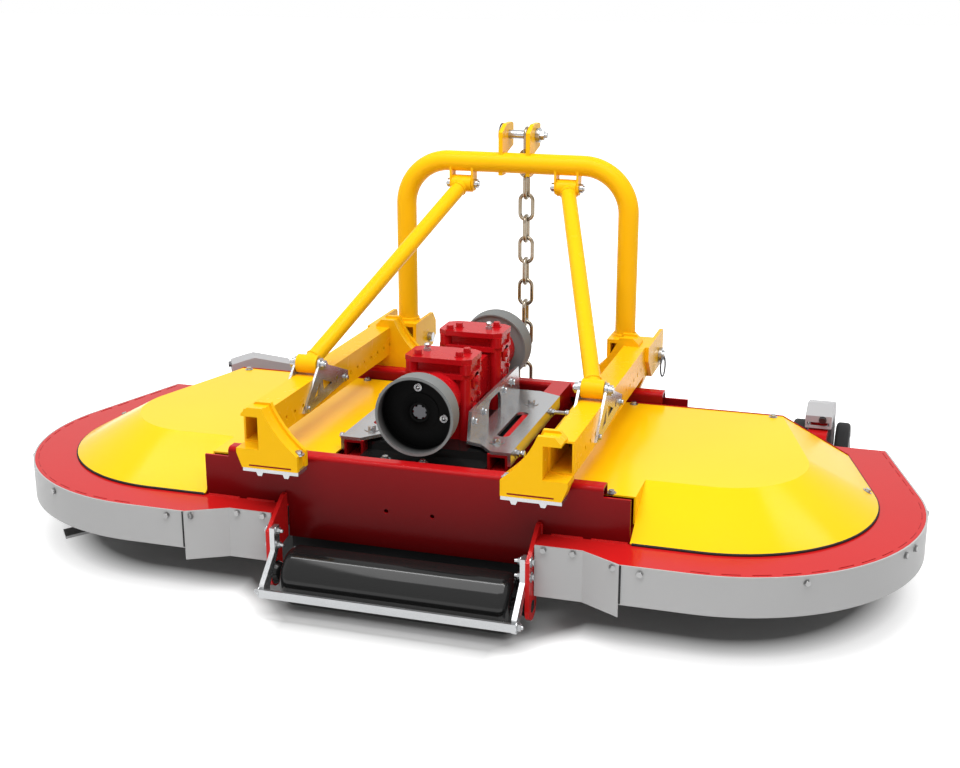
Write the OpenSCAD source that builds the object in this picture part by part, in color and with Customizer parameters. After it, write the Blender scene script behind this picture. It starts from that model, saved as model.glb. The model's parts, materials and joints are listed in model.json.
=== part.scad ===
// Twin-rotor disc mower: round-ended deck, belt hoods, hitch hoop, rear roller and front castors.
// Millimetres. X runs across the machine, +Y points to the tractor, Z is up from the ground.
// Places along Y count from the line through both rotor axes.

/* [Deck] */
// Half the distance between the rotor axes
rotor_x = 682.5; // [660:0.5:700]
// Outer radius of the round ends, over the skirts
deck_end_r = 487.5; // [480:0.5:495]
// Height of the deck plate's top face
deck_top_z = 221; // [215:1:230]
// Thickness of the deck plate
deck_t = 5; // [4:0.5:8]
// Y of the deck's straight edge on the tractor side
deck_far_y = 455; // [445:1:470]
// X of the deck's two corners on the tractor side
deck_corner_x = 1056; // [1040:1:1075]
// Depth of the skirts below the deck's top face
skirt_h = 94; // [70:1:110]
// Thickness of skirts and deflectors
skirt_t = 4; // [3:0.5:6]
// X where each skirt starts, beside its deflector
skirt_inner_x = 530; // [520:1:545]
// X of the bend in each deflector
deflector_bend_x = 435; // [420:1:450]
// How far the deflectors' inner leaf stands back from the deck's straight edge
deflector_setback = 50.5; // [44:0.5:56]
// Depth of the deflectors below the deck's top face
deflector_h = 124; // [100:1:140]

/* [Beams] */
// Y of the roller side beam's outer face
near_plate_y = -367; // [-372:1:-362]
// Y of the tractor side beam's outer face
far_plate_y = 425; // [418:1:432]
// Half length of both beams
beam_half = 528; // [520:1:529]
// Half length of the beams' raised middle
beam_mid_half = 465; // [455:1:480]
// Height of the beams' top flange
beam_top_z = 350; // [346:1:354]
// Height of the beams' lower ends
beam_end_z = 326; // [322:1:332]
// Sheet thickness of the beams
beam_t = 6; // [4:0.5:8]
// Width of the beams' top flange
beam_flange = 45; // [38:1:50]
// Outer radius of the beams' folds
beam_fold_r = 12; // [8:1:16]
// Half width of the beam's middle that hangs below the deck
apron_half = 310; // [300:1:312]
// Height of that middle's lower edge
apron_z = 138; // [125:1:150]
// Distance between the two accessory holes
accessory_pitch = 115; // [100:1:130]
// Radius of the accessory holes
accessory_r = 5.5; // [4:0.5:8]
// Height of the accessory holes
accessory_z = 231; // [228:1:240]

/* [Hoods] */
// Height of the hoods' flat top
hood_top_z = 318; // [312:1:322]
// Sheet thickness of the hoods
hood_t = 4; // [3:0.5:5]
// Radius of the sloping side's foot about the rotor axis
hood_rim_r = 375; // [365:1:385]
// Radius of the fold at the top of the slope
hood_fold_r = 205; // [190:1:220]
// Gap between the deck and the slope's foot
hood_gap = 5; // [3:0.5:8]
// Y of the hoods' cut edge on the tractor side
hood_far_y = 375; // [370:1:378]
// X of the hoods' inner edge
hood_inner_x = 235; // [232:1:245]

/* [Rails] */
// X of the rails' centre lines
rail_x = 373.5; // [370:0.5:378]
// Width of the rails' square tube
rail_w = 60; // [50:1:66]
// Height of the rails' square tube
rail_h = 80; // [70:1:84]
// Wall of the rails
rail_wall = 5; // [4:0.5:8]
// Height of the rails' underside
rail_z = 382; // [378:1:386]
// Distance between the holes in the rails
rail_hole_pitch = 50; // [45:1:55]
// Radius of the holes in the rails
rail_hole_r = 5.5; // [4:0.5:7]
// Depth of the saddle brackets along Y
bracket_d = 60; // [50:1:66]
// Y from the roller side beam to its brackets
bracket_gap = 20; // [16:1:24]
// Y from the tractor side beam to its brackets
far_bracket_gap = 2; // [0:0.5:6]
// Thickness of the bracket plates
bracket_plate_t = 12; // [8:1:16]
// Thickness of the beam tabs that carry the brackets
tab_t = 4; // [3:0.5:6]

/* [Hoop] */
// X of the hoop's legs
hoop_leg_x = 325; // [322:0.5:328]
// Y of the hoop's plane
hoop_y = 536; // [532:1:542]
// Height of the top bar's centre line
hoop_top_z = 936; // [900:1:970]
// Radius of the hoop tube
hoop_r = 28.5; // [26:0.5:29]
// Wall of the hoop tube
hoop_wall = 5; // [4:0.5:7]
// Radius of the hoop's bends
hoop_bend_r = 130; // [110:1:150]
// Height of the foot sleeves' top
foot_top_z = 470; // [462:1:480]
// Height of the foot's underside
foot_low_z = 364; // [358:1:370]
// Thickness of the foot plates
foot_t = 10; // [8:1:12]
// Y of the lower link pins
link_pin_y = 597; // [594:1:602]
// Height of the lower link pins
link_pin_z = 397; // [392:1:402]
// Radius of the lower link pins
link_pin_r = 14; // [11:0.5:14]
// X of the top ears' centre planes
ear_x = 39.5; // [36:0.5:44]
// Thickness of the top ears
ear_t = 12; // [10:1:14]
// Height of the top ears
ear_top_z = 1041; // [1035:1:1050]
// Y of the top link pin
top_pin_y = 590; // [588:1:594]
// Height of the top link pin
top_pin_z = 1009; // [1004:1:1012]
// Radius of the top link pin
top_pin_r = 12.5; // [11:0.5:12.5]

/* [Stays] */
// Radius of the stay tubes
stay_r = 21; // [19:0.5:23]
// Y of the stays' foot pivots
stay_foot_y = -79; // [-90:1:-70]
// Height of the stays' foot pivots
stay_foot_z = 489; // [487:1:495]
// X of the stays' head pivots
stay_head_x = 152; // [140:1:165]
// Height of the stays' head pivots
stay_head_z = 874; // [870:1:880]
// Length of the stays' end sleeves
stay_sleeve_l = 56; // [50:1:58]
// Radius of the stays' end sleeves
stay_sleeve_r = 24; // [22:0.5:25]
// Radius of the stays' pivot bolts
stay_pin_r = 8; // [6:0.5:10]
// Thickness of the lugs and gussets that hold the stays
lug_t = 6; // [5:0.5:8]

/* [Drive] */
// Height of the drive shafts' axis
pto_z = 458; // [454:1:462]
// Radius of the drive stubs over their splines
pto_r = 17.4; // [16:0.1:18]
// Outer radius of the shaft guards' mouths
cone_r = 97; // [92:1:100]
// Draft of the shaft guards, mouth to back
cone_draft = 3; // [1:0.5:5]
// Wall of the shaft guards
cone_wall = 4; // [3:0.5:6]
// Y of the near guard's mouth
near_mouth_y = -325; // [-330:1:-320]
// Y of the far guard's mouth
far_mouth_y = 370; // [365:1:375]
// Length of the guards
cone_l = 55; // [50:1:60]
// Depth of the drive stubs' ends behind the mouths
stub_depth = 42; // [41.5:0.5:45]
// X of the gearbox plates' outer edge
plate_out_x = 216; // [212:1:220]
// Y of the gearbox plates' near end
plate_near_y = -254; // [-258:1:-250]
// Y of the gearbox plates' far end
plate_far_y = 250; // [244:1:256]
// Half width of the gearbox covers
gear_half = 86; // [84:1:88]
// Y of the near gearbox's outer face
gear_near_y = -160; // [-165:1:-155]
// Y of the far gearbox's outer face
gear_far_y = 212; // [206:1:218]
// Depth of the gearboxes along Y
gear_d = 110; // [105:1:115]
// Height of the gearbox covers' top
gear_top_z = 556; // [550:1:562]
// Height of the top face of the gearbox plates
seat_z = 367; // [364:1:372]
// Thickness of the gearbox plates
seat_t = 8; // [6:1:10]

/* [Roller] */
// Radius of the roller
roller_r = 72; // [68:1:74]
// Half length of the roller's barrel
roller_half = 283; // [275:1:286]
// Y of the roller's axis
roller_y = -439; // [-444:1:-434]
// Radius of the roller's round shoulders
roller_round = 26; // [15:1:35]
// Radius of the roller's stub shafts
roller_stub_r = 15; // [12:0.5:18]
// X of the side plates' inner face
cheek_x = 313; // [312.5:0.5:318]
// Thickness of the side plates
cheek_t = 10; // [8:1:12]
// Thickness of the scraper arms
arm_t = 12; // [8:1:14]
// Y of the scraper bar's outer face
scraper_y = -546; // [-552:1:-542]
// Height of the scraper bar's lower edge
scraper_z = 53; // [48:1:58]
// Height of the scraper bar's section
scraper_h = 20; // [16:1:24]

/* [Rotors] */
// Radius of the knife tips
knife_tip_r = 461; // [445:1:470]
// Height of the knives' underside
knife_z = 58; // [50:1:66]
// Radius of the rotor discs
disc_r = 300; // [280:1:320]
// Thickness of the rotor discs
disc_t = 8; // [6:1:10]
// Radius of the rotor shafts
spindle_r = 25; // [22:0.5:30]
// Radius of the spindle housings
housing_r = 70; // [62:1:80]
// Turn of the first knife on the left rotor
knife_turn_left = 234; // [0:1:359]
// Turn of the first knife on the right rotor
knife_turn_right = 220; // [0:1:359]

/* [Castors] */
// X of the castor pivots
castor_x = 875; // [865:1:885]
// Y of the castor pivots
castor_y = 540; // [535:1:550]
// Distance from the pivot to the wheels' axle
castor_trail = 150; // [140:1:160]
// Radius of the castor wheels
castor_r = 105; // [95:1:106]
// Width of each castor wheel
castor_tyre_w = 39; // [34:1:44]
// Outside width of the castor forks
fork_w = 71; // [64:1:76]
// Plate thickness of the castor forks
fork_t = 6; // [5:0.5:8]
// Height of the castor forks' top
fork_top_z = 304; // [296:1:310]
// Turn of the left castor from straight ahead
castor_turn_left = -60; // [-70:1:70]

/* [Chain] */
// Pitch of the chain's links
chain_pitch = 62; // [60:0.5:66]
// Radius of the links' wire
chain_wire_r = 5.4; // [4.5:0.1:6]
// Outside width of the links
chain_w = 48; // [44:1:52]
// X of the chain
chain_x = 18; // [10:1:18]
// Number of links below the shackle
chain_links = 12; // [6:1:12]

/* [Hidden] */
$fn = 64;

// Clearance of turning shafts in their bores, and of curved pieces that sit in each other
run_gap = 0.05;
seat_gap = 0.2;
// Play between hanging chain links
chain_gap = 0.3;
// Small overlap that lets a cut pass right through a face
eps = 1;

// Extent along Y, which sets the origin under the machine's middle
back_y = scraper_y;
front_y = castor_y + castor_trail + castor_r;
mid_y = (back_y + front_y) / 2;

// Deck outline
deck_r = deck_end_r - skirt_t;
corner_dx = deck_corner_x - rotor_x;
corner_angle = atan2(deck_far_y, corner_dx);
corner_dist = sqrt(corner_dx * corner_dx + deck_far_y * deck_far_y);
tangent_angle = corner_angle - acos(deck_r / corner_dist);
deck_low_z = deck_top_z - deck_t;
deflector_y = deflector_setback - deck_r;

// Hoods
hood_low_z = deck_top_z + hood_gap;
hood_slope = (hood_rim_r - hood_fold_r) / (hood_top_z - hood_low_z);
hood_cheek_x = beam_half + 2;
hood_near_y = near_plate_y + beam_flange + 1;
// Length by which the hood's pieces run into each other, and the small step between cone and flat sides
hood_spare = 20;
hood_step = 0.2;

// Rails and brackets
rail_in_x = rail_x - rail_w / 2;
rail_out_x = rail_x + rail_w / 2;
rail_top_z = rail_z + rail_h;
near_bracket_y = near_plate_y - bracket_gap - bracket_d;
far_bracket_y = far_plate_y + far_bracket_gap;
rail_near_y = near_bracket_y + bracket_d - 10;
rail_far_y = far_bracket_y + bracket_d;
bracket_low_z = 335;
tab_z = bracket_low_z + 5;
tab_in_x = 262;
tab_out_x = 370;

// Feet
sleeve_r = hoop_r + 4.5;
foot_inner_x = hoop_leg_x - sleeve_r - foot_t + 2;
foot_outer_x = rail_out_x;
foot_lap = 57;

// Castors
castor_axle_z = castor_r;
pivot_r = 14;
pivot_tube_r = 24;
pivot_low_z = 226;
pivot_top_z = 270;
arm_half = 26;
arm_root_y = hood_far_y + 10;

module placed() translate([0, -mid_y, 0]) children();
module both_sides() {
  children();
  mirror([1, 0, 0]) children();
}
// Outline given as (y, z), made t thick from x outwards
module slab_yz(x, t) translate([x, 0, 0]) rotate([90, 0, 90]) linear_extrude(t) children();
// Outline given as (x, z), made t thick from y towards +Y
module slab_xz(y, t) translate([0, y + t, 0]) rotate([90, 0, 0]) linear_extrude(t) children();
// Round bar or bore along X
module rod_x(r, x, l) translate([x, 0, 0]) rotate([0, 90, 0]) cylinder(r = r, h = l);
// Round bar or bore along Y
module rod_y(r, y, l) translate([0, y + l, 0]) rotate([90, 0, 0]) cylinder(r = r, h = l);

// Deck

// X at height y of a line parallel to the deck's slanted edge, at radius r from the rotor axis
function slant_x(r, y) = rotor_x + (r - y * sin(tangent_angle)) / cos(tangent_angle);

// Round end of radius r with its straight near edge and slanted outer edge, run past its open sides
module end_outline(r, past) intersection() {
  union() {
    translate([rotor_x, 0]) circle(r = r);
    polygon([
      [skirt_inner_x - past, -r], [rotor_x, -r],
      [rotor_x + r * cos(tangent_angle), r * sin(tangent_angle)],
      [slant_x(r, deck_far_y + past), deck_far_y + past], [skirt_inner_x - past, deck_far_y + past]
    ]);
  }
  translate([skirt_inner_x - past, -2 * r]) square([rotor_x + 2 * r, 2 * r + deck_far_y + past]);
}
module deck_half_outline() {
  end_outline(deck_r, 0);
  polygon([
    [-eps, near_plate_y + beam_t], [apron_half, near_plate_y + beam_t], [apron_half, near_plate_y],
    [cheek_x + cheek_t, near_plate_y], [cheek_x + cheek_t, deflector_y],
    [deflector_bend_x, deflector_y], [skirt_inner_x, -deck_r], [rotor_x, -deck_r],
    [rotor_x, deck_far_y], [-eps, deck_far_y]
  ]);
}

// Red end wall of the belt space, under each hood's cut edge
module belt_wall() {
  wall_x = slant_x(hood_rim_r, hood_far_y);
  slab_xz(hood_far_y + 0.5, 4)
    polygon([
      [beam_mid_half + 5, deck_top_z], [wall_x, deck_top_z], [wall_x, hood_low_z],
      [slant_x(hood_fold_r, hood_far_y), hood_top_z], [beam_mid_half + 5, hood_top_z]
    ]);
}
module deck() color("firebrick") {
  difference() {
    translate([0, 0, deck_low_z]) linear_extrude(deck_t) {
      deck_half_outline();
      mirror([1, 0]) deck_half_outline();
    }
    for (s = [-1, 1]) translate([s * rotor_x, 0, deck_low_z - eps])
      cylinder(r = housing_r + seat_gap, h = deck_t + 2 * eps);
  }
  both_sides() belt_wall();
}

module skirt() color("lightgray") translate([0, 0, deck_top_z - skirt_h]) linear_extrude(skirt_h)
  difference() {
    end_outline(deck_end_r, 0);
    end_outline(deck_r, eps);
  }
module skirt_right() skirt();
module skirt_left() mirror([1, 0, 0]) skirt();

// Bent plates that gather the cut grass, between roller and skirts
module deflector() {
  low = deck_top_z - deflector_h;
  inner = cheek_x + cheek_t + 2;
  leaf_out = deflector_y - skirt_t;
  slant_y = -deck_r - skirt_t;
  translate([0, 0, low]) linear_extrude(deflector_h) polygon([
    [inner, deflector_y], [inner, leaf_out], [deflector_bend_x + 1, leaf_out],
    [skirt_inner_x - 1, slant_y - 1], [skirt_inner_x - 1, -deck_r - 0.5], [deflector_bend_x, deflector_y]
  ]);
}
module deflectors() color("lightgray") both_sides() deflector();

// Beams

module beam_face_outline(apron) {
  translate([-beam_half, deck_top_z]) square([2 * beam_half, beam_end_z - deck_top_z]);
  if (apron) translate([-apron_half, apron_z]) square([2 * apron_half, deck_top_z - apron_z + eps]);
}

// Corner at (d, z) that a fold of radius r leaves open, on the side given by its sign
module fold_cut(r, d, z, side) difference() {
  translate([side < 0 ? d - eps : d - r, z - r]) square(r + eps);
  translate([d - side * r, z - r]) circle(r = r);
}
// Section of a beam's raised middle as (depth, z), set in by inset and open below
module fold_form(inset, low) difference() {
  translate([inset, low]) square([beam_flange - 2 * inset, beam_top_z - inset - low]);
  fold_cut(beam_fold_r - inset, inset, beam_top_z - inset, -1);
  fold_cut(beam_fold_r - inset, beam_flange - inset, beam_top_z - inset, 1);
}
// Face, flange and short lip of a beam's raised middle
module beam_section(low) difference() {
  fold_form(0, low);
  fold_form(beam_t, low - eps);
  translate([beam_flange - beam_t - eps, low - eps]) square([beam_t + 2 * eps, hood_top_z - low + eps]);
}

// Folded beam with its outer face at Y 0, its flange towards +Y and tabs for brackets that stand off by gap
module beam(gap, apron) {
  tab_l = bracket_d + gap;
  difference() {
    union() {
      slab_xz(0, beam_t) beam_face_outline(apron);
      slab_yz(-beam_mid_half, 2 * beam_mid_half) beam_section(beam_end_z - beam_flange);
      both_sides() translate([tab_in_x, -tab_l, tab_z]) cube([tab_out_x - tab_in_x, tab_l + tab_t, tab_t]);
    }
    if (apron) for (s = [-1, 1]) translate([s * accessory_pitch / 2, 0, accessory_z])
      rod_y(accessory_r, -eps, beam_t + 2 * eps);
  }
}
module near_beam() color("darkred") translate([0, near_plate_y, 0]) beam(bracket_gap, true);
module far_beam() color("darkred") translate([0, far_plate_y, 0]) rotate([0, 0, 180])
  beam(far_bracket_gap, false);

// Square tubes under the gearbox plates, each on a channel from beam to beam
frame_tube_w = 50;
tube_out_x = plate_out_x - seat_t;
tube_in_x = tube_out_x - frame_tube_w;
tube_low_z = seat_z - seat_t - 48;
module centre_frame() color("darkred") both_sides() {
  y0 = near_plate_y + beam_t;
  y1 = far_plate_y - beam_t;
  tube_l = far_plate_y - beam_flange - plate_near_y;
  bore_w = frame_tube_w - 2 * beam_t;
  difference() {
    translate([tube_in_x, y0, deck_top_z]) cube([frame_tube_w, y1 - y0, tube_low_z + beam_t - deck_top_z]);
    translate([tube_in_x + beam_t, y0 - eps, deck_top_z - eps])
      cube([bore_w, y1 - y0 + 2 * eps, tube_low_z - deck_top_z + eps]);
  }
  translate([tube_in_x, plate_near_y, tube_low_z]) difference() {
    cube([frame_tube_w, tube_l, seat_z - seat_t - tube_low_z]);
    translate([beam_t, -eps, beam_t])
      cube([bore_w, tube_l + 2 * eps, seat_z - seat_t - tube_low_z - 2 * beam_t]);
  }
}

// Folded tray between the tubes that carries the gearboxes
tray_t = 6;
tray_top_z = seat_z - 17;
tray_step = 20;
tray_fold_y = -219;
module gear_tray() color("#202020") slab_yz(-tube_in_x, 2 * tube_in_x) polygon([
  [near_plate_y + beam_flange, tray_top_z - tray_step], [tray_fold_y - tray_t, tray_top_z - tray_step],
  [tray_fold_y - tray_t, tray_top_z], [plate_far_y, tray_top_z], [plate_far_y, tray_top_z - tray_t],
  [tray_fold_y, tray_top_z - tray_t], [tray_fold_y, tray_top_z - tray_step - tray_t],
  [near_plate_y + beam_flange, tray_top_z - tray_step - tray_t]
]);

// Hoods

// Section of a hood's slope, radius against height, lowered by drop and moved in by inset.
// It runs past the hood's top and foot, where the hood's form is cut level.
module hood_section(drop, start, inset) {
  low = hood_low_z - hood_spare;
  high = hood_top_z + hood_spare;
  function foot(z) = hood_rim_r - inset - (z + drop - hood_low_z) * hood_slope;
  polygon([[start, low], [foot(low), low], [foot(high), high], [start, high]]);
}

// Closed form under a hood's outer skin, lowered by drop for its inner skin:
// a cone about the rotor axis, with a straight near side and a slanted outer side set just inside it
module hood_form(drop) {
  past = drop > 0 ? eps : 0;
  far = hood_far_y + past;
  near = hood_near_y - past;
  inner = hood_inner_x - past;
  low = hood_low_z - past;
  cheek = hood_cheek_x - drop;
  flat_y = hood_spare - hood_fold_r;
  tall = hood_top_z + hood_spare;
  intersection() {
    union() {
      intersection() {
        translate([rotor_x, 0, 0]) {
          rotate_extrude($fn = 96) hood_section(drop, 0, 0);
          rotate([90, 0, -90]) linear_extrude(rotor_x) hood_section(drop, -hood_spare, hood_step);
        }
        translate([cheek, -deck_end_r, 0]) cube([rotor_x, 2 * deck_end_r, tall]);
      }
      translate([rotor_x, 0, 0]) rotate([0, 0, tangent_angle]) translate([0, 2 * deck_far_y, 0])
        rotate([90, 0, 0]) linear_extrude(2 * deck_far_y) hood_section(drop, -hood_fold_r, hood_step);
      translate([inner - hood_spare, flat_y, 0])
        cube([rotor_x - inner + hood_spare, far - flat_y + hood_spare, tall]);
      translate([inner - hood_spare, near, 0]) cube([cheek - inner + hood_spare, hood_spare - near, tall]);
    }
    translate([inner, -deck_end_r, low])
      cube([rotor_x + deck_end_r, far + deck_end_r, hood_top_z - drop - low]);
  }
}
module hood() color("gold") difference() {
  hood_form(0);
  hood_form(hood_t);
}
module hood_right() hood();
module hood_left() mirror([1, 0, 0]) hood();

// Rails and brackets

module rail() color("gold") difference() {
  translate([rail_in_x, rail_near_y, rail_z]) cube([rail_w, rail_far_y - rail_near_y, rail_h]);
  translate([rail_in_x + rail_wall, rail_near_y - eps, rail_z + rail_wall])
    cube([rail_w - 2 * rail_wall, rail_far_y - rail_near_y + 2 * eps, rail_h - 2 * rail_wall]);
  near_holes = [for (i = [0:4]) rail_near_y + 110 + i * rail_hole_pitch];
  far_holes = [for (i = [0:6]) rail_far_y - 60 - i * rail_hole_pitch];
  for (y = concat(near_holes, far_holes))
    translate([0, y, rail_z + 30]) rod_x(rail_hole_r, rail_in_x - eps, rail_w + 2 * eps);
}
module rail_right() rail();
module rail_left() mirror([1, 0, 0]) rail();

// Saddle outline: slanted inner edge, jaw round the rail, slot over the beam's tab
bracket_in_x = 246;
bracket_out_x = 388;
bracket_top_z = 484;
core_inset = 6;
jaw_top_x = rail_in_x + 42;
// Hollow arc of the slanted edge, by its chord's ends, its depth and its radius
slant_low = [bracket_in_x, bracket_low_z + 38];
slant_high = [rail_in_x - 12, bracket_top_z];
slant_sag = 9;
slant_dx = slant_high[0] - slant_low[0];
slant_dz = slant_high[1] - slant_low[1];
slant_chord = sqrt(slant_dx * slant_dx + slant_dz * slant_dz);
slant_r = slant_chord * slant_chord / (8 * slant_sag) + slant_sag / 2;
module slant_hollow(grow) translate([
  (slant_low[0] + slant_high[0]) / 2 - slant_dz / slant_chord * (slant_r - slant_sag),
  (slant_low[1] + slant_high[1]) / 2 + slant_dx / slant_chord * (slant_r - slant_sag)
]) circle(r = slant_r + grow, $fn = 128);
module bracket_outline() difference() {
  polygon([
    [bracket_in_x, bracket_low_z], [bracket_out_x, bracket_low_z], [rail_out_x - 2, rail_z - 12],
    [rail_out_x - 2, rail_z], [rail_in_x, rail_z], [rail_in_x, rail_top_z], [jaw_top_x, rail_top_z],
    [jaw_top_x, rail_top_z + 6], [jaw_top_x - 16, bracket_top_z], slant_high, slant_low
  ]);
  slant_hollow(0);
  translate([tab_in_x, tab_z]) square([tab_out_x - tab_in_x, tab_t]);
}
module bracket_core_outline() difference() {
  intersection() {
    bracket_outline();
    translate([bracket_in_x + core_inset, bracket_low_z])
      square([rail_out_x - bracket_in_x, bracket_top_z - core_inset - bracket_low_z]);
  }
  slant_hollow(core_inset);
}
// Two plates with a set-back block between them
module bracket(y) {
  slab_xz(y, bracket_plate_t) bracket_outline();
  slab_xz(y + bracket_d - bracket_plate_t, bracket_plate_t) bracket_outline();
  slab_xz(y + bracket_plate_t, bracket_d - 2 * bracket_plate_t) bracket_core_outline();
}
module near_brackets() color("gold") both_sides() bracket(near_bracket_y);
module far_brackets() color("gold") both_sides() bracket(far_bracket_y);

// Toothed plates bolted under the brackets
clamp_t = 10;
module clamp_outline() {
  low = bracket_low_z - clamp_t;
  polygon([
    [bracket_in_x, bracket_low_z], [bracket_in_x, low], [tab_in_x + 6, low], [tab_in_x + 10, low - 9],
    [tab_in_x + 20, low - 9], [tab_in_x + 24, low], [tab_out_x - 34, low], [tab_out_x - 30, low - 9],
    [tab_out_x - 20, low - 9], [tab_out_x - 16, low], [bracket_out_x, low], [bracket_out_x, bracket_low_z]
  ]);
}
module clamp_plates() color("silver") both_sides()
  for (y = [near_bracket_y, far_bracket_y]) slab_xz(y + 4, bracket_d - 8) clamp_outline();

// Hoop and hitch

module hoop() color("gold") difference() {
  hoop_tube(hoop_r, 0);
  hoop_tube(hoop_r - hoop_wall, eps);
  both_sides() slab_yz(ear_x - ear_t / 2 - seat_gap, ear_t + 2 * seat_gap) ear_outline(seat_gap);
}
module hoop_tube(r, past) translate([0, hoop_y, 0]) {
  leg_top = hoop_top_z - hoop_bend_r;
  bar_half = hoop_leg_x - hoop_bend_r;
  both_sides() {
    translate([hoop_leg_x, 0, foot_low_z + foot_t - past])
      cylinder(r = r, h = leg_top - foot_low_z - foot_t + past);
    translate([bar_half, 0, leg_top]) rotate([90, 0, 0]) rotate_extrude(angle = 90)
      translate([hoop_bend_r, 0]) circle(r = r);
  }
  translate([0, 0, hoop_top_z]) rod_x(r, -bar_half, 2 * bar_half);
}

// Ear of the top link, let through slots in the tube, given as (y, z) and grown by g
ear_back_y = top_pin_y + 42;
ear_front_y = hoop_y - 16;
module ear_outline(g) polygon([
  [ear_front_y - g, hoop_top_z - hoop_r - 6 - g], [hoop_y + 18 + g, hoop_top_z - hoop_r - 6 - g],
  [hoop_y + 18 + g, hoop_top_z + hoop_r - 8], [ear_back_y + g, top_pin_z - 34],
  [ear_back_y + g, ear_top_z - 6], [ear_back_y - 12, ear_top_z + g],
  [top_pin_y - 26, ear_top_z + g], [ear_front_y - g, top_pin_z + 12]
]);
module top_ears() color("gold") both_sides() difference() {
  slab_yz(ear_x - ear_t / 2, ear_t) ear_outline(0);
  translate([0, top_pin_y, top_pin_z]) rod_x(top_pin_r + seat_gap, ear_x - ear_t, 2 * ear_t);
}
module top_pin() color("silver") translate([0, top_pin_y, top_pin_z]) {
  grip = ear_x + ear_t / 2;
  rod_x(top_pin_r, -grip - 12, 2 * grip + 30);
  rod_x(top_pin_r + 7, grip + 0.5, 12);
}

// Foot of each hoop leg: sleeve with a top and a bottom plate, between the link plates
foot_y = far_bracket_y + bracket_d;
link_top_z = foot_top_z - 8;
module hitch_foot() difference() {
  union() {
    translate([hoop_leg_x, hoop_y, foot_low_z]) cylinder(r = sleeve_r, h = foot_top_z - foot_low_z);
    for (z = [foot_low_z, link_top_z - foot_t]) translate([foot_inner_x + foot_t, foot_y, z])
      cube([foot_outer_x - foot_inner_x - foot_t, hoop_y + 8 - foot_y, foot_t]);
  }
  translate([hoop_leg_x, hoop_y, foot_low_z + foot_t]) cylinder(r = hoop_r + seat_gap, h = foot_top_z);
  translate([foot_inner_x, hoop_y - sleeve_r, foot_low_z - eps]) cube([foot_t, 2 * sleeve_r, foot_top_z]);
}
// Link plates on both sides of each foot, the outer one lapping the rail
module link_pair() difference() {
  inner_end = link_pin_y + 68;
  outer_end = link_pin_y + 58;
  union() {
    slab_yz(foot_inner_x, foot_t) polygon([
      [foot_y, foot_low_z], [inner_end - 30, foot_low_z], [inner_end, foot_low_z + 26],
      [inner_end, link_top_z - 30], [inner_end - 26, link_top_z], [foot_y, link_top_z]
    ]);
    slab_yz(foot_outer_x, foot_t) polygon([
      [foot_y, foot_low_z], [outer_end - 12, foot_low_z], [outer_end, foot_low_z + 12],
      [outer_end, link_top_z - 8], [outer_end - 8, link_top_z], [foot_y - foot_lap, link_top_z],
      [foot_y - foot_lap, link_top_z - 40]
    ]);
  }
  translate([0, link_pin_y, link_pin_z]) rod_x(link_pin_r + seat_gap, foot_inner_x - eps, foot_outer_x);
}
module link_plates() color("gold") both_sides() link_pair();
module hitch_feet() color("gold") both_sides() hitch_foot();
module lower_pins() color("silver") both_sides() translate([0, link_pin_y, link_pin_z]) {
  outer = foot_outer_x + foot_t;
  rod_x(link_pin_r, foot_inner_x - 14, outer + 16 - foot_inner_x + 14);
  rod_x(link_pin_r + 8, outer + 0.5, 10);
}

// Stays

stay_head_y = hoop_y - 5;
stay_lug_r = stay_sleeve_r - 4;
stay_dx = stay_head_x - rail_x;
stay_dy = stay_head_y - stay_foot_y;
stay_dz = stay_head_z - stay_foot_z;
stay_len = sqrt(stay_dx * stay_dx + stay_dy * stay_dy + stay_dz * stay_dz);
module stay() color("gold") {
  head = [stay_head_x, stay_head_y, stay_head_z];
  difference() {
    union() {
      translate([rail_x, stay_foot_y, stay_foot_z])
        rod_x(stay_sleeve_r, -stay_sleeve_l / 2, stay_sleeve_l);
      translate(head) rod_x(stay_sleeve_r, -stay_sleeve_l / 2, stay_sleeve_l);
      translate([rail_x, stay_foot_y, stay_foot_z])
        rotate([0, acos(stay_dz / stay_len), atan2(stay_dy, stay_dx)]) cylinder(r = stay_r, h = stay_len);
    }
    translate([rail_x, stay_foot_y, stay_foot_z])
      rod_x(stay_pin_r + seat_gap, -stay_sleeve_l, 2 * stay_sleeve_l);
    translate(head) rod_x(stay_pin_r + seat_gap, -stay_sleeve_l, 2 * stay_sleeve_l);
  }
}
module stay_right() stay();
module stay_left() mirror([1, 0, 0]) stay();

// Pairs of lugs under the top bar that hold the stays' heads
module stay_lugs() color("gold") both_sides() for (s = [-1, 1]) {
  x = stay_head_x + s * (stay_sleeve_l / 2 + 0.5) - (s < 0 ? lug_t : 0);
  difference() {
    slab_yz(x, lug_t) difference() {
      union() {
        translate([stay_head_y, stay_head_z]) circle(r = stay_lug_r);
        translate([stay_head_y - stay_lug_r, stay_head_z]) square([2 * stay_lug_r, hoop_top_z - stay_head_z]);
      }
      translate([hoop_y, hoop_top_z]) circle(r = hoop_r + seat_gap);
      translate([hoop_y - 3 * hoop_r, hoop_top_z - 12]) square(6 * hoop_r);
    }
    translate([0, stay_head_y, stay_head_z]) rod_x(stay_pin_r + seat_gap, x - eps, lug_t + 2 * eps);
  }
}

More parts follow.
